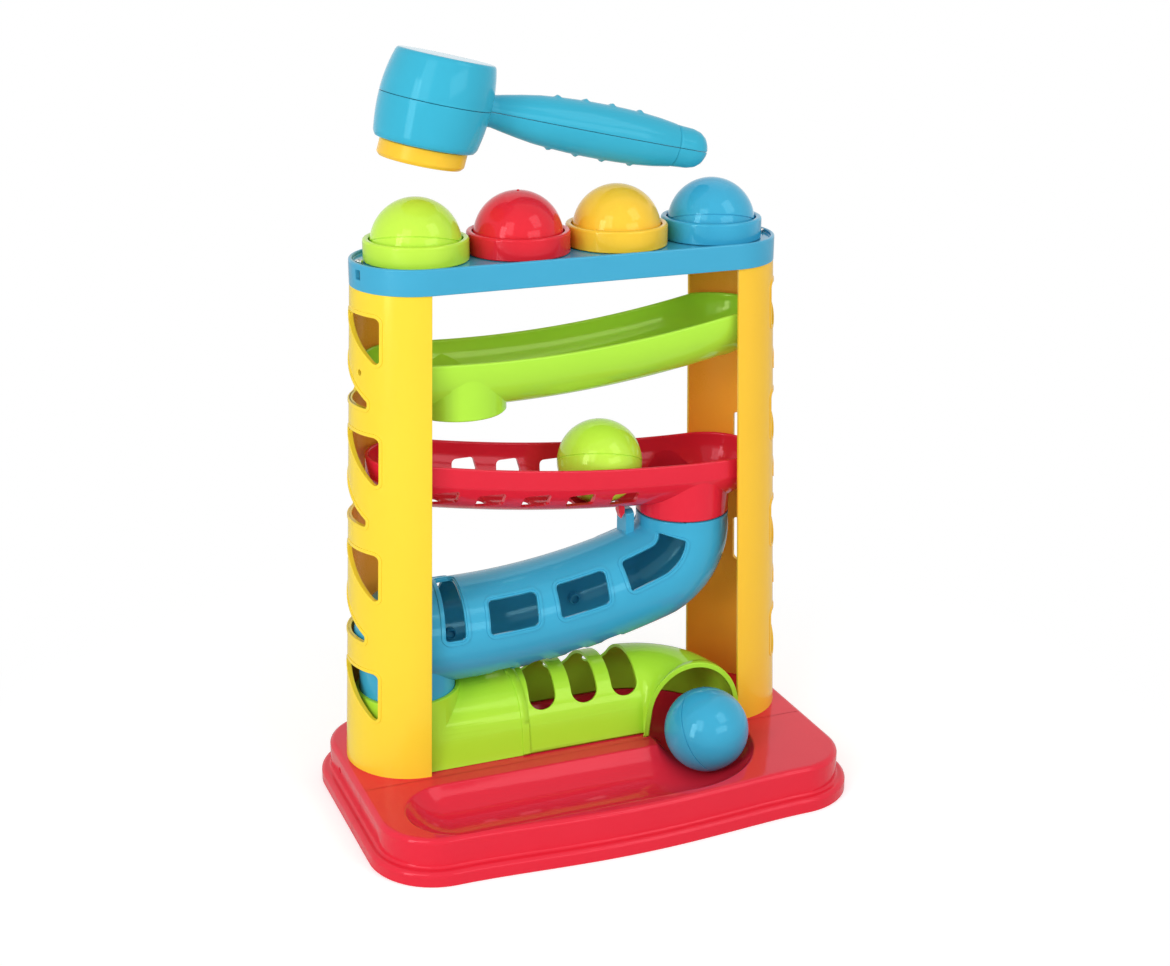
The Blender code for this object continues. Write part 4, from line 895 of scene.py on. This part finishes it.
def ball(name, finish, at, body, nodes, lean=0, spin=0):
    """A ball with its seam leaning by an angle in degrees."""
    half = [(BALL * math.cos(a), BALL * math.sin(a)) for a in np.radians(np.linspace(90, 0, 61)[1:-1])]
    half = [(0, BALL)] + half + [(22.49, 0.28), (22.05, 0.12)]
    profile = half + [(r, -z) for r, z in half[::-1]]
    turn = Matrix.Rotation(math.radians(spin), 4, "Z") @ Matrix.Rotation(math.radians(lean), 4, "Y")
    made = turned(name, profile, 128)
    return stand(name, made, finish, nodes, body, (at[0], SET_BACK + at[1], at[2]), turn)


for index, (colour, finish, lean, spin) in enumerate((
    ("green", GREEN, 19.3, 67.7), ("red", RED, 0, 0), ("yellow", ORANGE, 0, 0), ("blue", BLUE, 19.3, 67.7),
)):
    x = RING_PLACES[index]
    stand(
        "ring_" + colour, turned("ring_" + colour, ring_section, 128, (x, 0), ring=True), finish,
        ["ring_" + colour],
    )
    name = colour + "_ball"
    ball(name, finish, (x, 0, 295.6), name, [name + "_upper", name + "_lower"], lean, spin)
    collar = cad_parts["finger_collar_" + colour]
    collar.data.materials.clear()
    collar.data.materials.append(finger_yellow)
nub = turned("ball_nub", [(0, 0.5), (0.5, 0.4), (0.8, 0.1), (0.85, -0.4), (0, -0.4)], 24)
stand("red_ball_nub", nub, RED, [], "red_ball", (RING_PLACES[1], SET_BACK, 318.1))
for name, finish, at, slot, lean, spin in (
    ("middle_ball", GREEN, (18.3, 0, 172.1), "green_ball", 28, 67.7),
    ("exit_ball", BLUE, (59.1, -53.7, 32.8), "blue_ball", 62, -50),
):
    ball(name, finish, at, name, [name + "_upper", name + "_lower"], lean, spin)


# Hammer: a hollow barrel head and an oval grip in one blue moulding, split along its length into an upper and
# a lower half, with a soft orange-yellow striking pad pressed into the lower face.
hammer_blue = moulded("hammer_blue_gloss", (0.046, 0.44, 0.62), (0.032, 0.37, 0.54), BLUE_GLINT, 0.10, 0.22)
pad_yellow = moulded("pad_orange_yellow", (0.95, 0.57, 0.040), (0.92, 0.50, 0.030), YELLOW_GLINT, 0.26, 0.35)
HELD = Matrix.Rotation(math.radians(12.6), 4, "Y")
HEAD_PLACE = (-66.8, SET_BACK, 363.3)
HEAD_HALF, HEAD_ROUND = 21.5, 27.2
GRIP = np.array([
    (18, 10.5), (21.0, 9.4), (23.4, 7.9), (28.5, 7.9), (33, 8.8), (42.4, 10.5), (51.7, 11.9), (61, 12.7),
    (70, 13.2), (79, 13.5), (89, 13.6), (98.5, 13.4), (108, 13.0), (117, 12.2), (124.0, 11.2), (126.0, 10.9),
    (126.8, 10.1), (127.6, 10.5), (131, 10.3), (136, 10.0), (140, 9.0), (142.6, 7.2), (144.4, 4.8),
    (145.4, 1.6),
])
GRIP_STATIONS = [np.linspace(18, 125.2, 104), np.linspace(126.0, 127.6, 5), np.linspace(128.6, 145.4, 19)]
grip_rows = []
for x in np.concatenate(GRIP_STATIONS):
    half = float(np.interp(x, GRIP[:, 0], GRIP[:, 1]))
    row = []
    for a in np.linspace(0, 2 * math.pi, 65)[:-1]:
        bump = 0.0
        for place in (60, 75, 89.5, 105):
            for up in (math.pi / 2, -math.pi / 2):
                away = math.hypot((x - place) / 1.7, half * math.remainder(a - up, 2 * math.pi) / 4.2)
                bump += 1.1 * max(0, 1 - away**2) ** 1.5
        row.append((x, 0.9 * (half + bump) * math.cos(a), (half + bump) * math.sin(a)))
    grip_rows.append(row)
head = [(0, HEAD_HALF), (22.6, HEAD_HALF), (23.5, 21.3), (24.0, 20.8)]
for z in np.linspace(20, -19, 40):
    taper = 3.2 if z >= 0 else 2.3
    head.append((HEAD_ROUND - taper * (z / HEAD_HALF) ** 2, z))
head += [(24.8, -20.2), (24.1, -21.1), (23.0, -HEAD_HALF), (0, -HEAD_HALF)]


def leaned(mesh):
    """The head or pad, leaning a little from square to the grip."""
    mesh.transform(Matrix(((1, 0, 0.07, -0.0013), (0, 1, 0, 0), (0, 0, 1, 0), (0, 0, 0, 1))))
    return mesh


whole = carve(leaned(turned("hammer", head, 160)), skin("grip", grip_rows), operation="UNION")
for name, low, high in (("hammer_upper", -60, 0.1), ("hammer_lower", -0.1, 60)):
    half = carve(whole, box((-60, -60, low), (200, 60, high)))
    round_over(half, 0.3, lambda x, y, z: abs(z) < 0.15, 2)
    stand(name, half, hammer_blue, [name], "hammer", HEAD_PLACE, HELD)
pad_profile = soften([
    (0, -21.8, 0), (21.4, -21.8, 0.4), (21.4, -28.6, 1.6), (19.8, -30.2, 0.8), (0, -30.2, 0),
], 5, closed=False)
pad = leaned(turned("striking_pad", pad_profile, 96))
stand("striking_pad", pad, pad_yellow, ["striking_pad"], "hammer", HEAD_PLACE, HELD)


# Studio: a plain white floor that keeps a faint shadow near the bench and turns plain white further out,
# four softboxes round the front and a dim one above and behind, and the camera at the photograph's place.
floor_paint = bpy.data.materials.new("floor_white")
floor_paint.use_nodes = True
paint = Socket(floor_paint.node_tree)
seen = paint.node("LightPath", output="Is Camera Ray")
lit = paint.node("BsdfDiffuse", None, {"Color": (0.82, 0.82, 0.82, 1)})
glow = paint.node("Emission", None, {"Color": (1, 1, 1, 1), "Strength": 0.42})
both = paint.node("AddShader", None, {0: lit, 1: glow})
white = paint.node("Emission", None, {"Color": (1, 1, 1, 1), "Strength": 1.0})
where = paint.node("TexCoord", output="Object")
away = paint.node("VectorMath", {"operation": "DISTANCE"}, {0: where, 1: (0, SET_BACK / 1000, 0)}, output=1)
reach = {"Value": away, "From Min": 0.15, "From Max": 0.36}
far = paint.node("MapRange", {"interpolation_type": "SMOOTHSTEP"}, reach)
bright = paint.node("MixShader", None, {0: far, 1: both, 2: white})
chosen = paint.node("MixShader", None, {0: seen, 1: lit, 2: bright})
end = floor_paint.node_tree.nodes["Material Output"]
floor_paint.node_tree.links.new(chosen.out, end.inputs["Surface"])
ground = bpy.data.meshes.new("floor")
ground.from_pydata([(-1.5, -1.5, 0), (1.5, -1.5, 0), (1.5, 1.5, 0), (-1.5, 1.5, 0)], [], [(0, 1, 2, 3)])
ground.materials.append(floor_paint)
ground_piece = bpy.data.objects.new("floor", ground)
bpy.context.scene.collection.objects.link(ground_piece)

world = bpy.data.worlds.new("studio")
bpy.context.scene.world = world
world.use_nodes = True
paint = Socket(world.node_tree)
seen = paint.node("LightPath", output="Is Camera Ray")
mirrored = paint.node("LightPath", output="Is Glossy Ray")
through = paint.node("LightPath", output="Is Transmission Ray")
any_seen = paint.maths("MINIMUM", seen + mirrored + through, 1.0)
sky = paint.node("Background", None, {"Color": (1, 1, 1, 1), "Strength": any_seen * 0.45 + 0.55})
world.node_tree.links.new(sky.out, world.node_tree.nodes["World Output"].inputs["Surface"])

TARGET = Vector((0.010, 0.0265, 0.161))


def towards(azimuth, height):
    """The direction from the bench to a lamp or the camera, its angles in degrees."""
    a, e = math.radians(azimuth), math.radians(height)
    return Vector((math.sin(a) * math.cos(e), -math.cos(a) * math.cos(e), math.sin(e)))


for name, azimuth, height, away, wide, tall, power in (
    ("softbox_left", -46, 30, 1.7, 0.62, 0.9, 5.0), ("softbox_right", 36, 42, 1.7, 0.7, 0.8, 4.5),
    ("strip_left", -62, 12, 1.7, 0.4, 1.2, 9.0), ("fill_front", 20, 16, 1.9, 1.1, 0.5, 5.0),
    ("softbox_top", 150, 60, 1.7, 1.4, 1.0, 1.2),
):
    lamp = bpy.data.lights.new(name, "AREA")
    lamp.shape = "RECTANGLE"
    lamp.size, lamp.size_y, lamp.energy = wide, tall, power
    holder = bpy.data.objects.new(name, lamp)
    bpy.context.scene.collection.objects.link(holder)
    back = towards(azimuth, height)
    holder.location = TARGET + back * away
    holder.rotation_euler = (-back).to_track_quat("-Z", "Y").to_euler()

FOCAL_PIXELS, IMAGE_WIDTH, SENSOR_WIDTH = 1850.07, 1170, 36
lens = bpy.data.cameras.new("camera")
lens.sensor_width = SENSOR_WIDTH
lens.lens = FOCAL_PIXELS / IMAGE_WIDTH * SENSOR_WIDTH
lens.clip_start, lens.clip_end = 0.05, 40
camera = bpy.data.objects.new("camera", lens)
bpy.context.scene.collection.objects.link(camera)
back, roll = towards(-22.29, 19.27), math.radians(0.37)
aim = Vector((0.01014, 0.0265, 0.16076))
camera.location = aim + back * 0.97566
camera.rotation_mode = "QUATERNION"
camera.rotation_quaternion = (-back).to_track_quat("-Z", "Y") @ Matrix.Rotation(roll, 3, "Z").to_quaternion()
bpy.context.scene.camera = camera
bpy.context.scene.view_settings.view_transform = "Standard"
